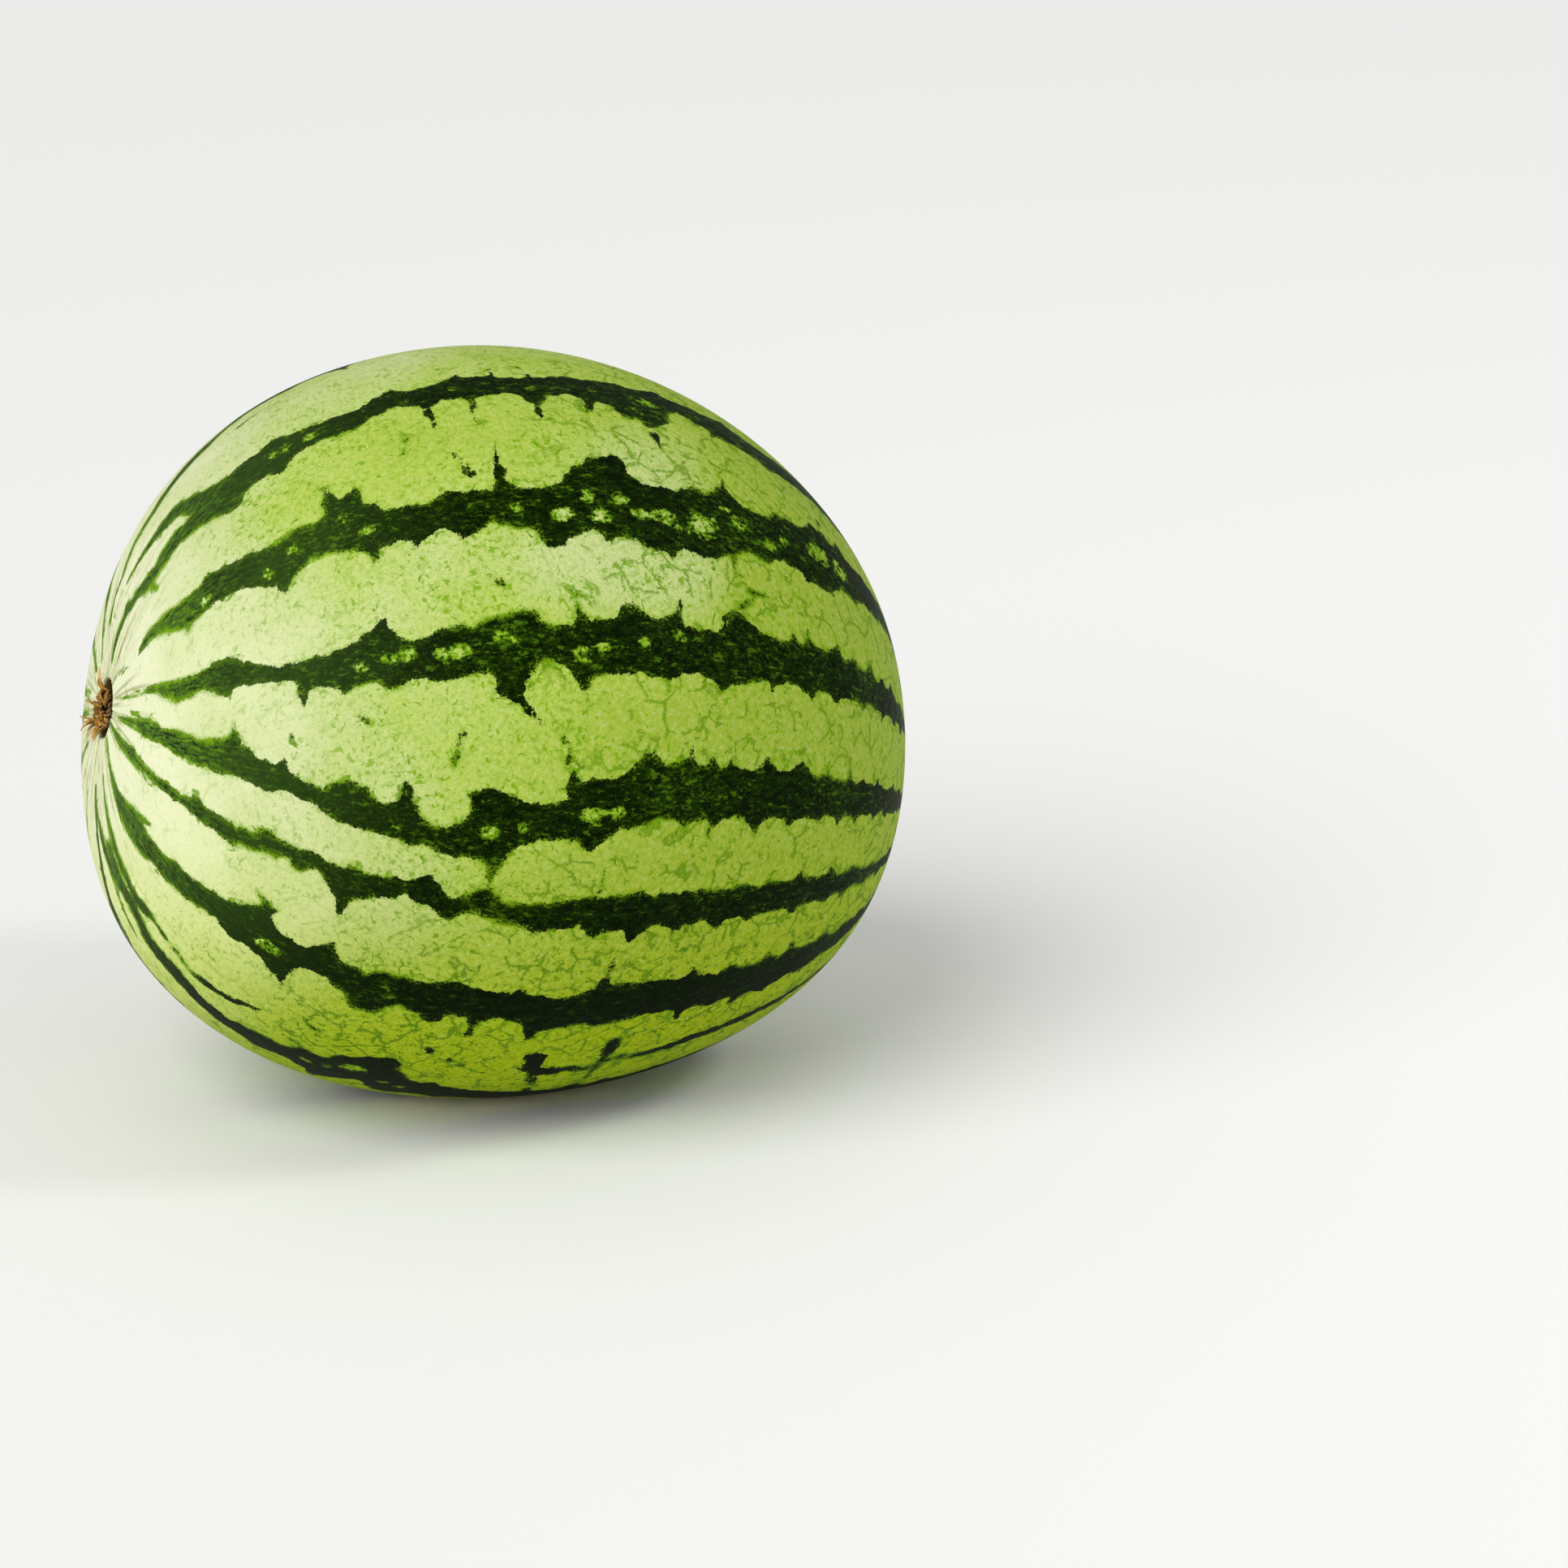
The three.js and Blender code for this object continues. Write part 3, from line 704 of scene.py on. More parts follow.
def strand(shape, path, root_radius, tip_radius, phase, sides=12, steps=16):
    """Adds a shrivelled fibre along a smooth curve through the points, thick at its root and thin at its
    tip. The phase, in radians, sets how its ridges twist and where its streaks lie."""
    points = np.array(path)
    knots = np.linspace(0, len(points) - 1, steps + 1)
    centres = np.array([smooth_point(points, knot) for knot in knots])
    known, known_edges = len(shape.verts), len(shape.edges)
    bmesh.ops.create_cone(shape, cap_ends=True, segments=sides, radius1=1, radius2=1, depth=1)
    shape.edges.ensure_lookup_table()
    edges = shape.edges[known_edges:]
    lengthwise = [edge for edge in edges if abs(edge.verts[0].co.z - edge.verts[1].co.z) > 0.5]
    bmesh.ops.subdivide_edges(shape, edges=lengthwise, cuts=steps - 1)
    shape.verts.ensure_lookup_table()
    side = np.cross(centres[1] - centres[0], (0.31, 0.57, 0.76))
    rings = []
    for step in range(steps + 1):
        ahead = centres[min(step + 1, steps)] - centres[max(step - 1, 0)]
        ahead /= np.linalg.norm(ahead)
        side = side - ahead * (side @ ahead)
        side /= np.linalg.norm(side)
        rings.append((side, np.cross(ahead, side)))
    fibre = shape.verts.layers.float_vector["fibre"]
    for vertex in shape.verts[known:]:
        share = min(max(vertex.co.z + 0.5, 0), 1)
        step = round(share * steps)
        first, second = rings[step]
        around = math.atan2(vertex.co.y, vertex.co.x)
        radius = root_radius + (tip_radius - root_radius) * share
        ridge = 0.2 * math.cos(3 * around + 5 * share + phase)
        lump = 0.1 * math.sin(19 * share + 2 * phase)
        radius *= 1 + ridge + lump
        vertex[fibre] = Vector((2.2 * share + 3 * phase, 2 * vertex.co.x, 2 * vertex.co.y + phase))
        vertex.co = Vector(centres[step] + radius * (vertex.co.x * first + vertex.co.y * second))


def smooth_point(points, knot):
    """A point of the smooth curve through the points, at a knot counted in points from the first one."""
    index = min(int(knot), len(points) - 2)
    share = knot - index
    before, start = points[max(index - 1, 0)], points[index]
    end, after = points[index + 1], points[min(index + 2, len(points) - 1)]
    return 0.5 * (
        2 * start + (end - before) * share + (2 * before - 5 * start + 4 * end - after) * share**2
        + (3 * start - before - 3 * end + after) * share**3
    )


def cleft_edge(settings, turn):
    """The distance from the stem axis to the edge of the cleft."""
    s = settings
    return 1 / math.hypot(math.cos(turn) / s.cleft_half_length, math.sin(turn) / s.cleft_half_width)


# Frayed fibres that broke off outside the cup: the turn of the root, how far it leans round, how far
# from the stem axis and how far out of the cup its tip reaches, and the radius of its root, in radians
# and millimetres.
FRAYED_FIBRES = [
    (-0.14, -0.12, 8.3, 1.7, 0.45), (0.14, -0.38, 8, 1.6, 0.4), (-0.4, 0.2, 6, 1.8, 0.5),
    (3.02, 0.12, 7.2, 1.2, 0.8), (2.85, 0.16, 6.6, 1.1, 0.65), (3.2, -0.1, 6.5, 1.5, 0.6),
    (3.5, -0.1, 7, 2.2, 0.45), (3.6, 0.08, 7.1, 3.1, 0.4), (3.7, 0.42, 6.3, 3.3, 0.34),
    (3.62, 0.26, 5.9, 2.6, 0.5), (4.5, 0.35, 4.9, 2.4, 0.36),
]
FRAYED_TIP_RADIUS = 0.13 * MM


def make_stem_scar(settings, fruit_settings):
    """The dry remnant of the stem: a cork plug, rings of curled strands and frayed fibres."""
    skin = Skin(fruit_settings)
    draw = random.Random(7)
    shape = bmesh.new()
    fibre = shape.verts.layers.float_vector.new("fibre")

    def curled(distance, turn, slant, rise):
        """A strand that rises from the plug, slants round and curls in to the cleft."""
        def at(out, share, slanted):
            return skin.scar_point(out, distance * share, turn + slant * slanted)

        rise -= 0.75 * MM * math.sin(turn)
        tip = skin.scar_point(rise - 0.9 * MM, cleft_edge(settings, turn + slant), turn + slant)
        path = [
            at(-settings.root_depth, 0.9, 0), at(-settings.root_depth / 2, 1, 0),
            at(rise - 0.4 * MM, 0.97, 0.2), at(rise, 0.72, 0.6), tip,
        ]
        root_radius, tip_radius = draw.uniform(0.42, 0.62) * MM, draw.uniform(0.16, 0.3) * MM
        strand(shape, path, root_radius, tip_radius, draw.uniform(0, 6.3))

    # Each ring: its strands, how far they stand from the stem axis, and how far out of the cup they rise.
    rings = ((settings.outer_strands, 3.95, 0.35), (settings.inner_strands, 2.7, -0.1))
    for count, distance, rise in rings:
        for number in range(count):
            turn = 2 * math.pi * (number + 0.6 * draw.random()) / count
            curled(
                distance * MM * draw.uniform(0.93, 1.05), turn, draw.uniform(0.3, 0.85),
                (rise + draw.uniform(-0.2, 0.7)) * MM,
            )
    at_root, at_side, at_lip = 3.4, 3.9, 4.4  # how far a fibre stands from the stem axis on its way out
    for turn, lean, reach, out, root in FRAYED_FIBRES:
        path = [
            skin.scar_point(-settings.root_depth, at_root * MM, turn),
            skin.scar_point(-settings.root_depth / 3, at_side * MM, turn),
            skin.scar_point(out * 0.55 * MM, at_lip * MM, turn + lean * 0.4),
            skin.scar_point(out * 0.95 * MM, (at_lip + reach) / 2 * MM, turn + lean * 0.8),
            skin.scar_point(out * MM, reach * MM, turn + lean),
        ]
        strand(shape, path, root * MM, FRAYED_TIP_RADIUS, draw.uniform(0, 6.3))

    plug_middle, plug_half_height, dents = -1.95, 0.7, 0.12  # in millimetres out of the cup's mouth
    plug = bmesh.ops.create_uvsphere(shape, u_segments=48, v_segments=24, radius=1)
    for vertex in plug["verts"]:
        turn = math.atan2(vertex.co.y, vertex.co.x)
        vertex[fibre] = vertex.co * 5
        reach = math.hypot(vertex.co.x, vertex.co.y) * settings.plug_radius
        reach *= 1 - 0.05 * (1 + math.sin(5 * turn + 1)) - 0.03 * (1 + math.sin(9 * turn))
        out = plug_middle + plug_half_height * vertex.co.z
        out += dents * math.sin(7 * turn) * math.sin(4 * reach / MM)
        vertex.co = Vector(skin.scar_point(out * MM, reach, turn))
    bmesh.ops.recalc_face_normals(shape, faces=shape.faces)
    for face in shape.faces:
        face.smooth = True
    mesh = bpy.data.meshes.new("stem_cork")
    shape.to_mesh(mesh)
    shape.free()
    return finish_piece("stem_cork", mesh, cork_material(settings, skin), "stem_scar")


# ---- Shaders ----
class Socket:
    """An output of a shader node. Sums and products of sockets and numbers add their own Math nodes."""

    def __init__(self, shader, output):
        self.shader, self.output = shader, output

    def __add__(self, other):
        return self.shader.math("ADD", self, other)

    def __sub__(self, other):
        return self.shader.math("SUBTRACT", self, other)

    def __rsub__(self, other):
        return self.shader.math("SUBTRACT", other, self)

    def __mul__(self, other):
        return self.shader.math("MULTIPLY", self, other)

    __radd__, __rmul__ = __add__, __mul__


class Shader:
    """A material and its nodes."""

    def __init__(self, name):
        self.material = bpy.data.materials.new(name)
        self.material.use_nodes = True
        self.tree = self.material.node_tree
        self.tree.nodes.clear()

    def node(self, kind, settings=None, sockets=None, output=0):
        """Adds a node: its settings first, then values or links for its sockets. Gives the named output."""
        node = self.tree.nodes.new(f"ShaderNode{kind}")
        for name, value in (settings or {}).items():
            setattr(node, name, value)
        for name, value in (sockets or {}).items():
            if isinstance(value, Socket):
                self.tree.links.new(value.output, node.inputs[name])
            else:
                node.inputs[name].default_value = value
        return Socket(self, node.outputs[output])

    def math(self, operation, *values):
        return self.node("Math", {"operation": operation}, dict(enumerate(values)))

    def rise(self, value, low, high):
        """0 below low and 1 above high, or the other way round where low is the larger, smooth between."""
        sockets = {"Value": value, "From Min": low, "From Max": high}
        return self.node("MapRange", {"interpolation_type": "SMOOTHSTEP"}, sockets)

    def blend(self, share, first, second):
        """A colour between two colours."""
        sockets = {0: share, 6: opaque(first), 7: opaque(second)}
        return self.node("Mix", {"data_type": "RGBA"}, sockets, output=2)

    def attribute(self, name, output="Fac"):
        return self.node("Attribute", {"attribute_name": name}, output=output)

    def vector(self, operation, first, second):
        return self.node("VectorMath", {"operation": operation}, {0: first, 1: second})

    def noise(self, place, scale, detail=2.0, roughness=0.5, output="Fac", distortion=0.0):
        sockets = {"Vector": place, "Scale": scale, "Detail": detail, "Roughness": roughness}
        sockets["Distortion"] = distortion
        return self.node("TexNoise", {"noise_dimensions": "3D"}, sockets, output)

    def cells(self, place, scale, feature="F1"):
        return self.node("TexVoronoi", {"feature": feature}, {"Vector": place, "Scale": scale}, "Distance")

    def bump(self, height, strength, distance):
        sockets = {"Height": height, "Strength": strength, "Distance": distance}
        return self.node("Bump", None, sockets, "Normal")

    def surface(self, **sockets):
        """Ends the material in a Principled shader."""
        named = {name.replace("_", " "): value for name, value in sockets.items()}
        shader = self.node("BsdfPrincipled", None, named)
        end = self.tree.nodes.new("ShaderNodeOutputMaterial")
        self.tree.links.new(shader.output, end.inputs["Surface"])
        return self.material


def opaque(value):
    """A colour with the fourth number that a colour socket takes."""
    return value if isinstance(value, Socket) else (*value, 1)


class RindPattern:
    """What the rind's ground and stripes share: where a point lies, and the noises that vary it."""

    def __init__(self, shader):
        noise, cells, rise, vector = shader.noise, shader.cells, shader.rise, shader.vector
        place = shader.node("TexCoord", output="Object")
        mm = vector("MULTIPLY", place, (1000, 1000, 1000))
        round_stem = shader.attribute("round_stem", "Vector")
        self.mm = mm
        self.height_above_floor = shader.node("SeparateXYZ", None, {"Vector": place}, "Z")
        self.polar = shader.attribute("polar")
        self.tint = shader.attribute("tint")
        self.by_stem = rise(self.polar, 45, 12)
        self.to_blossom = rise(self.polar, 66, 96)
        # How near the floor a point lies: it places the painted shade on the underside and the painted bounce
        # light low on the stem half.
        self.underside = rise(self.height_above_floor, 0.085, 0.018)
        self.behind = rise(shader.node("SeparateXYZ", None, {"Vector": round_stem}, "Z"), 0.8, 0.3)

        self.patches = noise(mm, 0.055, 3, 0.55)
        self.grain = noise(mm, 1.9, 3, 0.65)
        self.fringe = noise(mm, 2.1, 4, 0.7) - 0.5
        self.streaks = noise(vector("MULTIPLY", round_stem, (2.2, 15, 15)), 1.0, 3, 0.6)
        self.hairs = noise(vector("MULTIPLY", round_stem, (9, 80, 80)), 1.0, 2, 0.6)
        flakes = noise(vector("MULTIPLY", round_stem, (40, 64, 64)), 1.0, 3, 0.65)
        self.flakes = flakes + (self.patches - 0.5) * 0.3
        self.ripening = self.polar + (self.patches - 0.5) * 40 - self.tint * 24

        sway = vector("SUBTRACT", noise(mm, 0.11, 2, 0.5, "Color"), (0.5, 0.5, 0.5))
        fine_sway = vector("SUBTRACT", noise(mm, 0.7, 3, 0.6, "Color"), (0.5, 0.5, 0.5))
        swayed = vector("ADD", mm, vector("MULTIPLY", sway, (6, 6, 6)))
        self.swayed = vector("ADD", swayed, vector("MULTIPLY", fine_sway, (1.6, 1.6, 1.6)))
        self.pebbles = cells(vector("ADD", mm, vector("MULTIPLY", fine_sway, (1.2, 1.2, 1.2))), 0.85)

        # Small lobes and a fuzzy fringe roughen the edges of the stripes, and streaks do it by the stem.
        lobes = (cells(self.swayed, 0.36) - 0.45) * 1.3
        rough = lobes * (1 - self.by_stem * 0.7) + self.fringe * 1.7
        self.edge = shader.attribute("stripe_depth") + rough + (self.streaks - 0.5) * (3.4 * self.by_stem)


def ground_colour(shader, s, rind):
    """The broad colours of the pale ground: cream by the stem, greener past the middle, lighter low on the
    stem half with painted bounce light, and olive below with painted shade.
    """
    rise, blend, polar, ripening = shader.rise, shader.blend, rind.polar, rind.ripening
    ground = blend(rise(ripening, 66, 114), s.ground, s.deep_ground)
    ground = blend(rise(ripening, 79, 42), ground, s.shoulder_ground)
    ground = blend(rise(ripening, 56, 12), ground, s.stem_ground)
    # Painted bounce light: the ground is lighter low on the stem half.
    low = rind.underside * rise(polar, 12, 26) * rise(polar, 72, 40)
    ground = blend(low * 0.6, ground, s.low_painted_light)
    # Painted shade: the ground turns olive on the underside.
    ground = blend(rind.underside * rise(polar, 30, 66), ground, s.belly_painted_shade)
    resting = rise(rind.height_above_floor + (rind.patches - 0.5) * 0.006, 0.0045, 0.0015)
    ground = blend(resting, ground, s.rest_ground)
    return blend(rise(rind.tint, 0.35, 1.0) * 0.7, ground, s.shoulder_ground)


def ground_flecks(shader, s, rind, fleck, ground):
    """The ground with pale and dark speckles, flecks of two sizes, and streaks by the stem."""
    noise, rise, blend, mm = shader.noise, shader.rise, shader.blend, rind.mm
    away = 0.12 + 0.88 * rise(rind.ripening, 24, 70)
    speckle = rind.pebbles * 0.5 + noise(mm, 1.25, 4, 0.7)
    pale = rise(speckle, 0.72, 0.52) * 0.32 * away * (1 - rind.underside * 0.6)
    ground = blend(pale, ground, s.shoulder_ground)
    ground = blend(rise(speckle, 0.76, 0.98) * 0.4 * away, ground, fleck)
    ground = blend(rise(rind.grain, 0.4, 0.66) * 0.34 * away, ground, fleck)
    size = (noise(mm, 0.09, 2) - 0.5) * 0.2
    small = noise(mm, 0.75, 3, 0.6, distortion=0.6) + size
    large = noise(mm, 0.38, 4, 0.66, distortion=0.9) + size * 0.6
    ground = blend(rise(small, 0.58, 0.64) * 0.9 * away, ground, fleck)
    ground = blend(rise(large, 0.64, 0.68) * 0.9 * away, ground, fleck)
    ground = blend(rise(large, 0.68, 0.72) * away, ground, s.fringe)
    return blend(rise(rind.streaks, 0.56, 0.72) * rind.by_stem * 0.2, ground, s.fleck)


def ground_veins(shader, s, rind, fleck, ground):
    """The ground with creases by the stem, a net of thin veins, and veins off the stripes' cusps."""
    cells, rise, blend = shader.cells, shader.rise, shader.blend
    broken = shader.noise(rind.mm, 0.2, 2)
    veined = rise(rind.polar + rind.underside * 34, 66, 96)
    net_edge = cells(rind.swayed, 0.17, "DISTANCE_TO_EDGE") * 5.9 + rind.fringe * 1.6
    net = rise(net_edge, 0.42, 0.1) * rise(broken + veined * 0.1, 0.55, 0.62) * (0.3 + 0.7 * veined)
    ground = blend(net * 0.85, ground, blend(veined * 0.5, fleck, s.fringe))

    ground = blend(shader.attribute("crease") * 0.6, ground, s.crease)
    hairs = rise(rind.hairs, 0.56, 0.62) * rise(rind.polar, 34, 9) * rind.behind
    ground = blend(hairs * 0.9, ground, s.crease)

    near = rise(rind.edge, -1.6 - 2.4 * rind.to_blossom, -0.1)
    cell_edge = cells(rind.swayed, 0.085, "DISTANCE_TO_EDGE") * 11.7 + rind.fringe * 1.6
    vein = rise(cell_edge, 0.05 + 0.5 * near, 0.4 * near - 0.15) * rise(broken, 0.5, 0.56)
    vein_colour = blend(rise(rind.grain, 0.4, 0.6), s.fringe, s.fleck)
    return blend(vein * rise(near, 0.02, 0.3) * 0.9, ground, vein_colour)


def stripe_colour(shader, s, rind, along_x, fine_mottle):
    """The dark green of the stripes, mottled, lighter and streaked by the stem, and darkest below with
    painted shade.
    """
    noise, rise, blend, polar = shader.noise, shader.rise, shader.blend, rind.polar
    mottle = noise(along_x, 0.75, 4, 0.62)
    dark = blend(rise(mottle, 0.38, 0.62), s.deep_stripe_and_shade, s.stripe)
    dark = blend(rise(fine_mottle + (rind.patches - 0.5) * 0.3, 0.52, 0.72) * 0.32, dark, s.fringe)
    dark = blend(rise(noise(rind.mm, 3.4, 3, 0.7), 0.54, 0.68) * 0.28, dark, s.fringe)
    dark = blend(rise(rind.flakes, 0.59, 0.66) * 0.6, dark, s.fringe)
    dark = blend(rise(rind.flakes, 0.48, 0.4) * 0.7, dark, s.deep_stripe_and_shade)
    dark = blend(rise(polar + (mottle - 0.5) * 30, 72, 40) * 0.3, dark, s.young_stripe)
    young = young_stripe_colour(shader, s, rind, fine_mottle)
    dark = blend(rise(polar + (mottle - 0.5) * 24, 50, 18), dark, young)
    dark = blend(rise(polar, 62, 30) * rise(rind.hairs, 0.58, 0.72) * 0.35, dark, s.fringe)
    # Painted shade: the stripes turn darkest on the underside.
    return blend(rind.underside * 0.85, dark, s.deep_stripe_and_shade)


def young_stripe_colour(shader, s, rind, fine_mottle):
    """The grainy green of the stripes by the stem, with flecked margins."""
    rise, blend = shader.rise, shader.blend
    hairy = rise(rind.polar, 22, 12)
    grainy = (fine_mottle * 0.6 + rind.hairs * 0.4) * (1 - hairy) + rind.hairs * hairy
    young = blend(rise(grainy, 0.52, 0.4) * 0.45, s.young_stripe, s.stripe)
    young = blend(rise(grainy + (rind.patches - 0.5) * 0.3, 0.52, 0.64) * 0.6, young, s.fringe)
    young = blend(rise(rind.flakes, 0.53, 0.6) * 0.75, young, s.fringe)
    young = blend(rise(rind.flakes, 0.6, 0.66) * 0.7, young, s.fleck)
    young = blend(rise(rind.flakes, 0.49, 0.41) * 0.8, young, s.deep_stripe_and_shade)
    margin = rise(rind.edge, 1.3, 0.2) * rise(grainy + (rind.streaks - 0.5) * 0.4, 0.4, 0.54)
    return blend(margin * 0.85, young, s.fleck)


def stripe_islands(shader, s, rind, along_x, ground, dark):
    """The stripes with their pale islands: a net of stripe colour stands over the ground in each."""
    rise, blend = shader.rise, shader.blend
    uneven = (shader.noise(along_x, 0.5, 2) - 0.5) * 4.5 + rind.fringe * 1.6
    field = shader.attribute("island_depth") + uneven
    island, core = rise(field, -0.4, 0.7), rise(field, 0.0, 1.8)
    net = shader.noise(rind.mm, 1.0, 3, 0.6)
    dark = blend(island * rise(net + core * 0.1, 0.42, 0.5) * 0.95, dark, s.fringe)
    dark = blend(island * rise(net + core * 0.14, 0.5, 0.58) * 0.95, dark, s.fleck)
    return blend(island * rise(net + core * 0.16, 0.59, 0.68) * 0.9, dark, ground)


def rind_material(settings):
    """The rind: a pale ground with flecks and veins, and dark stripes with lobed, fuzzy edges."""
    s = settings
    shader = Shader("rind")
    rise, blend = shader.rise, shader.blend
    rind = RindPattern(shader)
    polar, patches, grain, edge = rind.polar, rind.patches, rind.grain, rind.edge
    fleck = blend(rind.underside, s.fleck, s.fringe)
    ground = ground_colour(shader, s, rind)
    ground = ground_flecks(shader, s, rind, fleck, ground)
    ground = ground_veins(shader, s, rind, fleck, ground)

    along_x = shader.vector("MULTIPLY", rind.mm, (0.45, 1, 1))
    dark = stripe_colour(shader, s, rind, along_x, shader.noise(along_x, 1.7, 3, 0.6))
    dark = stripe_islands(shader, s, rind, along_x, ground, dark)
    margin = rise(edge, 1.1, 0.1) * rise(patches * 0.5 + grain * 0.5, 0.5, 0.58)
    dark = blend(margin * 0.8, dark, s.fleck)

    inside = rise(edge, -0.08, 0.14)
    outside_margin = rise(edge, -0.8, -0.1) * rise(patches * 0.6 + grain * 0.4, 0.45, 0.54)
    colour_now = blend(outside_margin * 0.6, ground, s.fleck)
    colour_now = blend(inside, colour_now, dark)
    colour_now = blend(rise(polar + rind.fringe * 0.3, 4.75, 4.3), colour_now, s.cup)
    colour_now = blend(rise(polar + rind.fringe * 3, 174, 177.6) * 0.6, colour_now, s.crease)
    blossom = rise(polar + rind.fringe * 1.6, 177.2, 177.9)
    colour_now = blend(blossom, colour_now, blend(rise(grain, 0.4, 0.62), s.cup, s.blossom))

    pores = shader.noise(rind.mm, 1.7, 3, 0.6)
    dents = shader.noise(rind.mm, 0.35, 2)
    height = pores * 0.7 - rind.pebbles * 0.35 + dents * 1.2 - inside * 0.12
    return shader.surface(
        Base_Color=colour_now,
        Roughness=0.44 + 0.16 * pores - 0.04 * inside + 0.4 * blossom,
        Normal=shader.bump(height, 0.35, 0.0004),
        Specular_IOR_Level=0.02,
    )


def cork_material(settings, skin):
    """Dry cork, dark in the clefts between its fibres, darkened deeper in the cup with painted shade, and
    pale at the frayed ends.
    """
    s = settings
    shader = Shader("cork")
    place = shader.node("TexCoord", output="Object")
    mm = shader.vector("MULTIPLY", place, (1000, 1000, 1000))
    middle = skin.scar_point(0, 0, 0) / MM
    outwards = (skin.scar_point(MM, 0, 0) - skin.scar_point(0, 0, 0)) / MM
    off = shader.vector("SUBTRACT", mm, tuple(middle))
    out = shader.node("VectorMath", {"operation": "DOT_PRODUCT"}, {0: off, 1: tuple(outwards)}, "Value")
    reach = shader.node("VectorMath", {"operation": "LENGTH"}, {0: off}, "Value")
    fibres = shader.noise(shader.attribute("fibre", "Vector"), 1.3, 4, 0.7)
    colour_now = shader.blend(shader.rise(fibres, 0.45, 0.57), s.cork_dark_and_shade, s.cork)
    colour_now = shader.blend(shader.rise(fibres, 0.58, 0.7) * 0.6, colour_now, s.cork_light)
    # Painted shade: the cork turns dark deeper in the cup.
    colour_now = shader.blend(shader.rise(out, 0.4, -0.8), colour_now, s.cork_dark_and_shade)
    colour_now = shader.blend(shader.rise(reach + fibres, 5.4, 7.4) * 0.8, colour_now, s.cork_light)
    return shader.surface(
        Base_Color=colour_now,
        Roughness=0.72 + 0.2 * fibres,
        Normal=shader.bump(fibres, 0.7, 0.0004),
    )


def plain_material(name, colour_value, roughness):
    shader = Shader(name)
    return shader.surface(Base_Color=opaque(colour_value), Roughness=roughness)


# ---- The stage ----
# Where the two lights stand round the melon: azimuth and elevation in degrees, and distance in metres.
KEY_PLACE = (-56, 38, 2)
FILL_PLACE = (62, 40, 1.5)


def make_floor(settings):
    """A plain pale floor that reaches past the camera's view."""
    shape = bmesh.new()
    bmesh.ops.create_grid(shape, x_segments=1, y_segments=1, size=settings.floor_size / 2)
    mesh = bpy.data.meshes.new("floor")
    shape.to_mesh(mesh)
    shape.free()
    mesh.materials.append(plain_material("floor", settings.floor, 0.7))
    floor = bpy.data.objects.new("floor", mesh)
    bpy.context.scene.collection.objects.link(floor)


def direction_to(azimuth, elevation):
    """The unit vector towards an azimuth, 0 at -Y and 90 degrees at +X, and an elevation, in radians."""
    level = math.cos(elevation)
    return Vector((math.sin(azimuth) * level, -math.cos(azimuth) * level, math.sin(elevation)))


def make_light(kind, name, azimuth, elevation, distance, aim):
    """A light that shines at the melon, by its place round it in degrees and metres. Gives its data."""
    data = bpy.data.lights.new(name, kind)
    light = bpy.data.objects.new(name, data)
    towards = direction_to(math.radians(azimuth), math.radians(elevation))
    light.location = aim + towards * distance
    light.rotation_euler = towards.to_track_quat("Z", "Y").to_euler()
    bpy.context.scene.collection.objects.link(light)
    return data


def make_camera(settings, middle):
    back = direction_to(settings.azimuth, settings.elevation)
    right = Vector((math.cos(settings.azimuth), math.sin(settings.azimuth), 0))
    up = back.cross(right)
    data = bpy.data.cameras.new("camera")
    data.lens, data.sensor_width = settings.lens, 36
    camera = bpy.data.objects.new("camera", data)
    camera.location = middle + right * settings.aim_right + up * settings.aim_up + back * settings.distance
    camera.rotation_euler = back.to_track_quat("Z", "Y").to_euler()
    bpy.context.scene.collection.objects.link(camera)
    bpy.context.scene.camera = camera


def make_surroundings(strength):
    world = bpy.data.worlds.new("studio")
    world.use_nodes = True
    background = world.node_tree.nodes["Background"]
    background.inputs["Color"].default_value = (1, 1, 1, 1)
    background.inputs["Strength"].default_value = strength
    bpy.context.scene.world = world
    bpy.context.scene.view_settings.view_transform = "Standard"


# ---- Operators, panel and registration ----
class MELON_OT_fruit(bpy.types.Operator):
    """Makes the fruit with its striped rind"""

    bl_idname = "melon.fruit"
    bl_label = "Make the fruit"

    def execute(self, context):
        make_fruit(context.scene.melon_fruit)
        return {"FINISHED"}


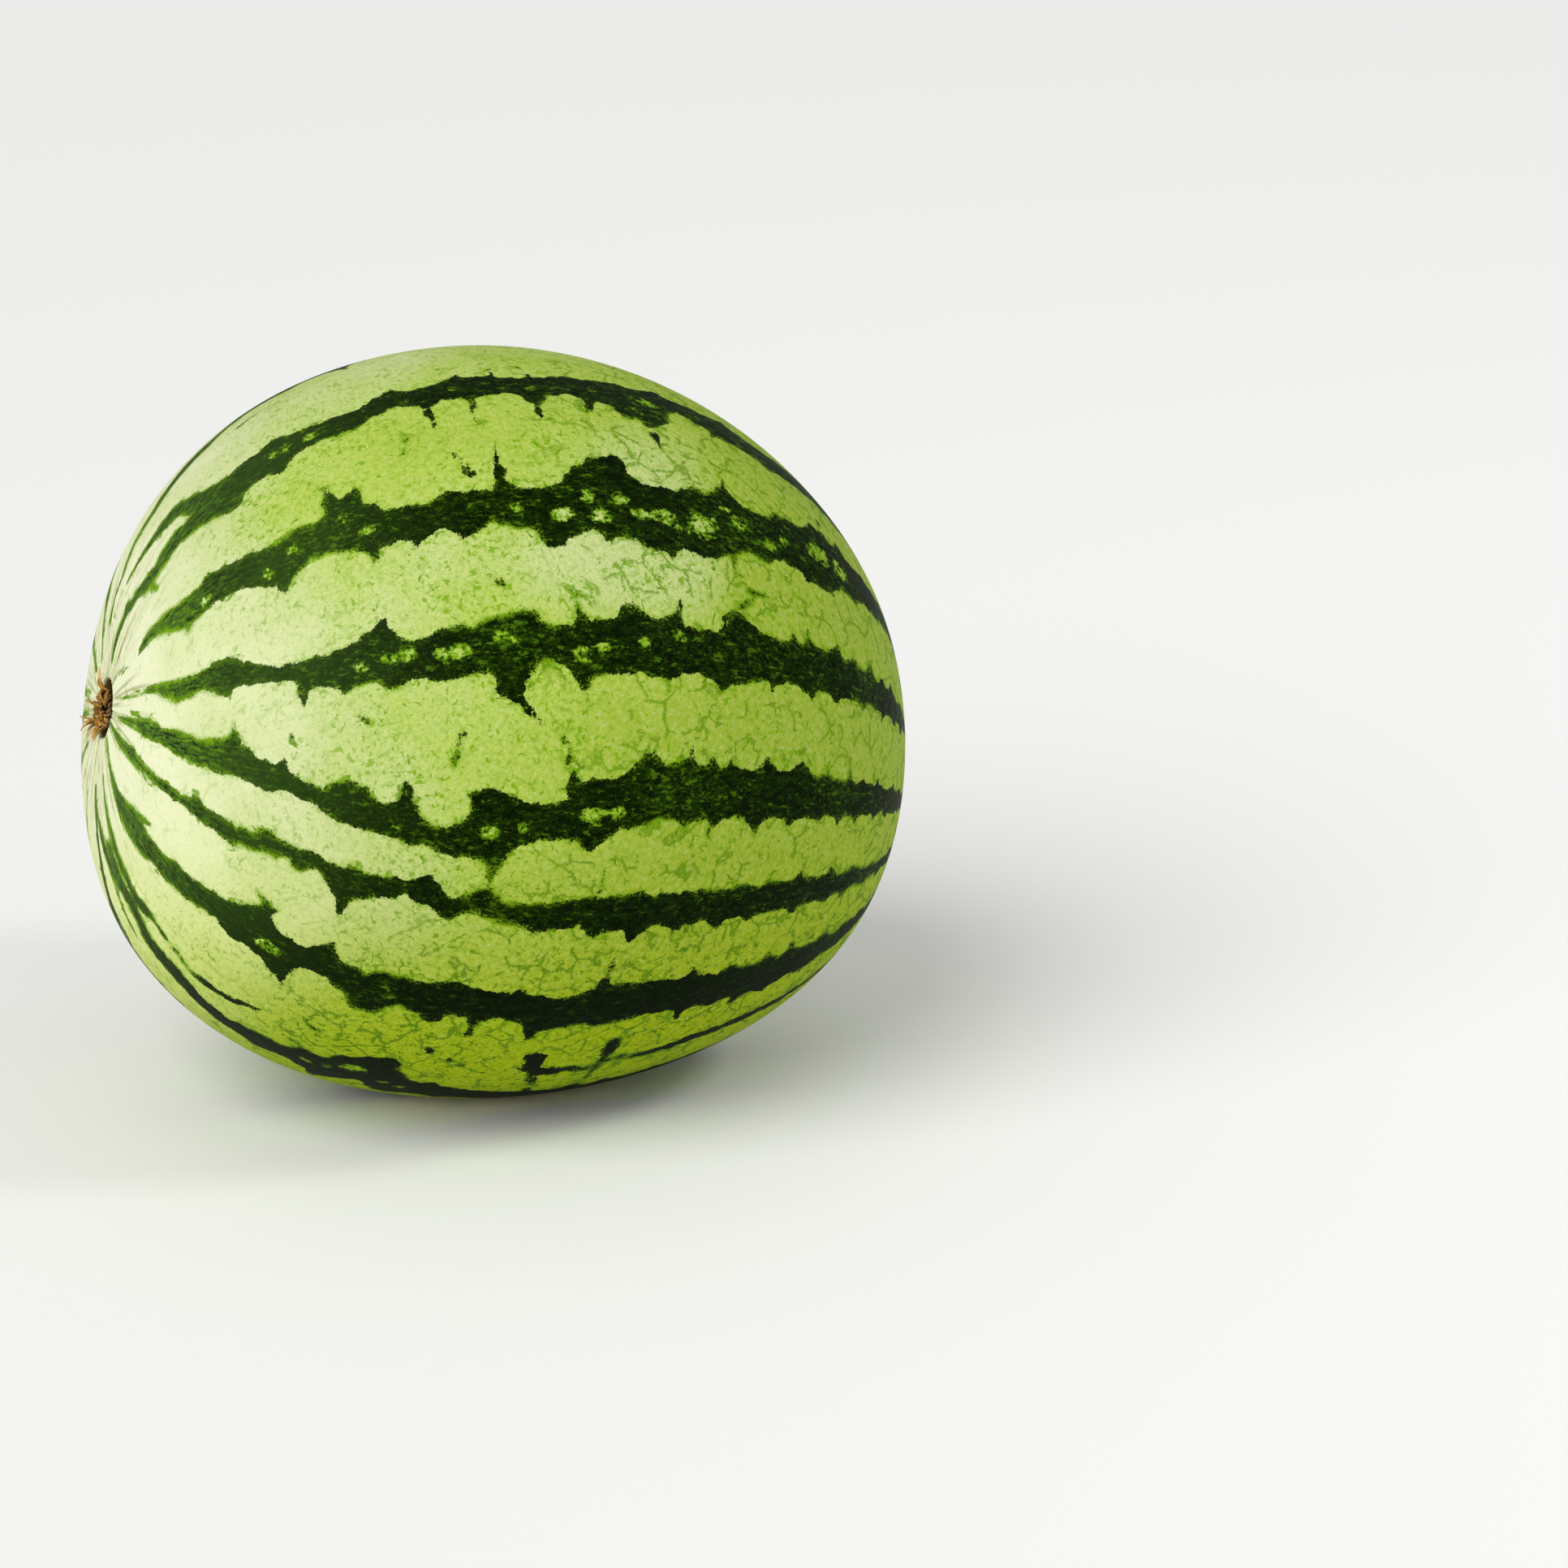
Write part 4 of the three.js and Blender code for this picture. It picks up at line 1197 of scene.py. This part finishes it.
class MELON_OT_stem_scar(bpy.types.Operator):
    """Makes the dry scar that the stem left"""

    bl_idname = "melon.stem_scar"
    bl_label = "Make the stem scar"

    def execute(self, context):
        make_stem_scar(context.scene.melon_scar, context.scene.melon_fruit)
        return {"FINISHED"}


class MELON_OT_stage(bpy.types.Operator):
    """Makes the floor, the lights and the camera"""

    bl_idname = "melon.stage"
    bl_label = "Make the stage"

    def execute(self, context):
        settings = context.scene.melon_stage
        middle = Vector(Skin(context.scene.melon_fruit).offset)
        make_floor(settings)
        make_surroundings(settings.sky_strength)
        key = make_light("SUN", "key", *KEY_PLACE, middle)
        key.energy, key.angle = settings.key_strength, settings.key_spread
        fill = make_light("AREA", "fill", *FILL_PLACE, middle)
        fill.energy, fill.size = settings.fill_power, settings.fill_size
        make_camera(settings, middle)
        return {"FINISHED"}


class MELON_PT_panel(bpy.types.Panel):
    """The melon's operators and settings"""

    bl_label = "Watermelon"
    bl_idname = "MELON_PT_panel"
    bl_space_type = "VIEW_3D"
    bl_region_type = "UI"
    bl_category = "Melon"

    def draw(self, context):
        for operator, group in (
            (MELON_OT_fruit, context.scene.melon_fruit),
            (MELON_OT_stem_scar, context.scene.melon_scar),
            (MELON_OT_stage, context.scene.melon_stage),
        ):
            box = self.layout.box()
            box.operator(operator.bl_idname)
            for name in group.__annotations__:
                box.prop(group, name)


CLASSES = (
    MELON_PG_fruit, MELON_PG_scar, MELON_PG_stage, MELON_OT_fruit, MELON_OT_stem_scar, MELON_OT_stage,
    MELON_PT_panel,
)


def register():
    for made in CLASSES:
        bpy.utils.register_class(made)
    bpy.types.Scene.melon_fruit = PointerProperty(type=MELON_PG_fruit)
    bpy.types.Scene.melon_scar = PointerProperty(type=MELON_PG_scar)
    bpy.types.Scene.melon_stage = PointerProperty(type=MELON_PG_stage)


def unregister():
    del bpy.types.Scene.melon_stage
    del bpy.types.Scene.melon_scar
    del bpy.types.Scene.melon_fruit
    for made in reversed(CLASSES):
        bpy.utils.unregister_class(made)


def main():
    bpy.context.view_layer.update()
    register()
    bpy.ops.melon.fruit()
    bpy.ops.melon.stem_scar()
    bpy.ops.melon.stage()


if __name__ == "__main__":
    main()
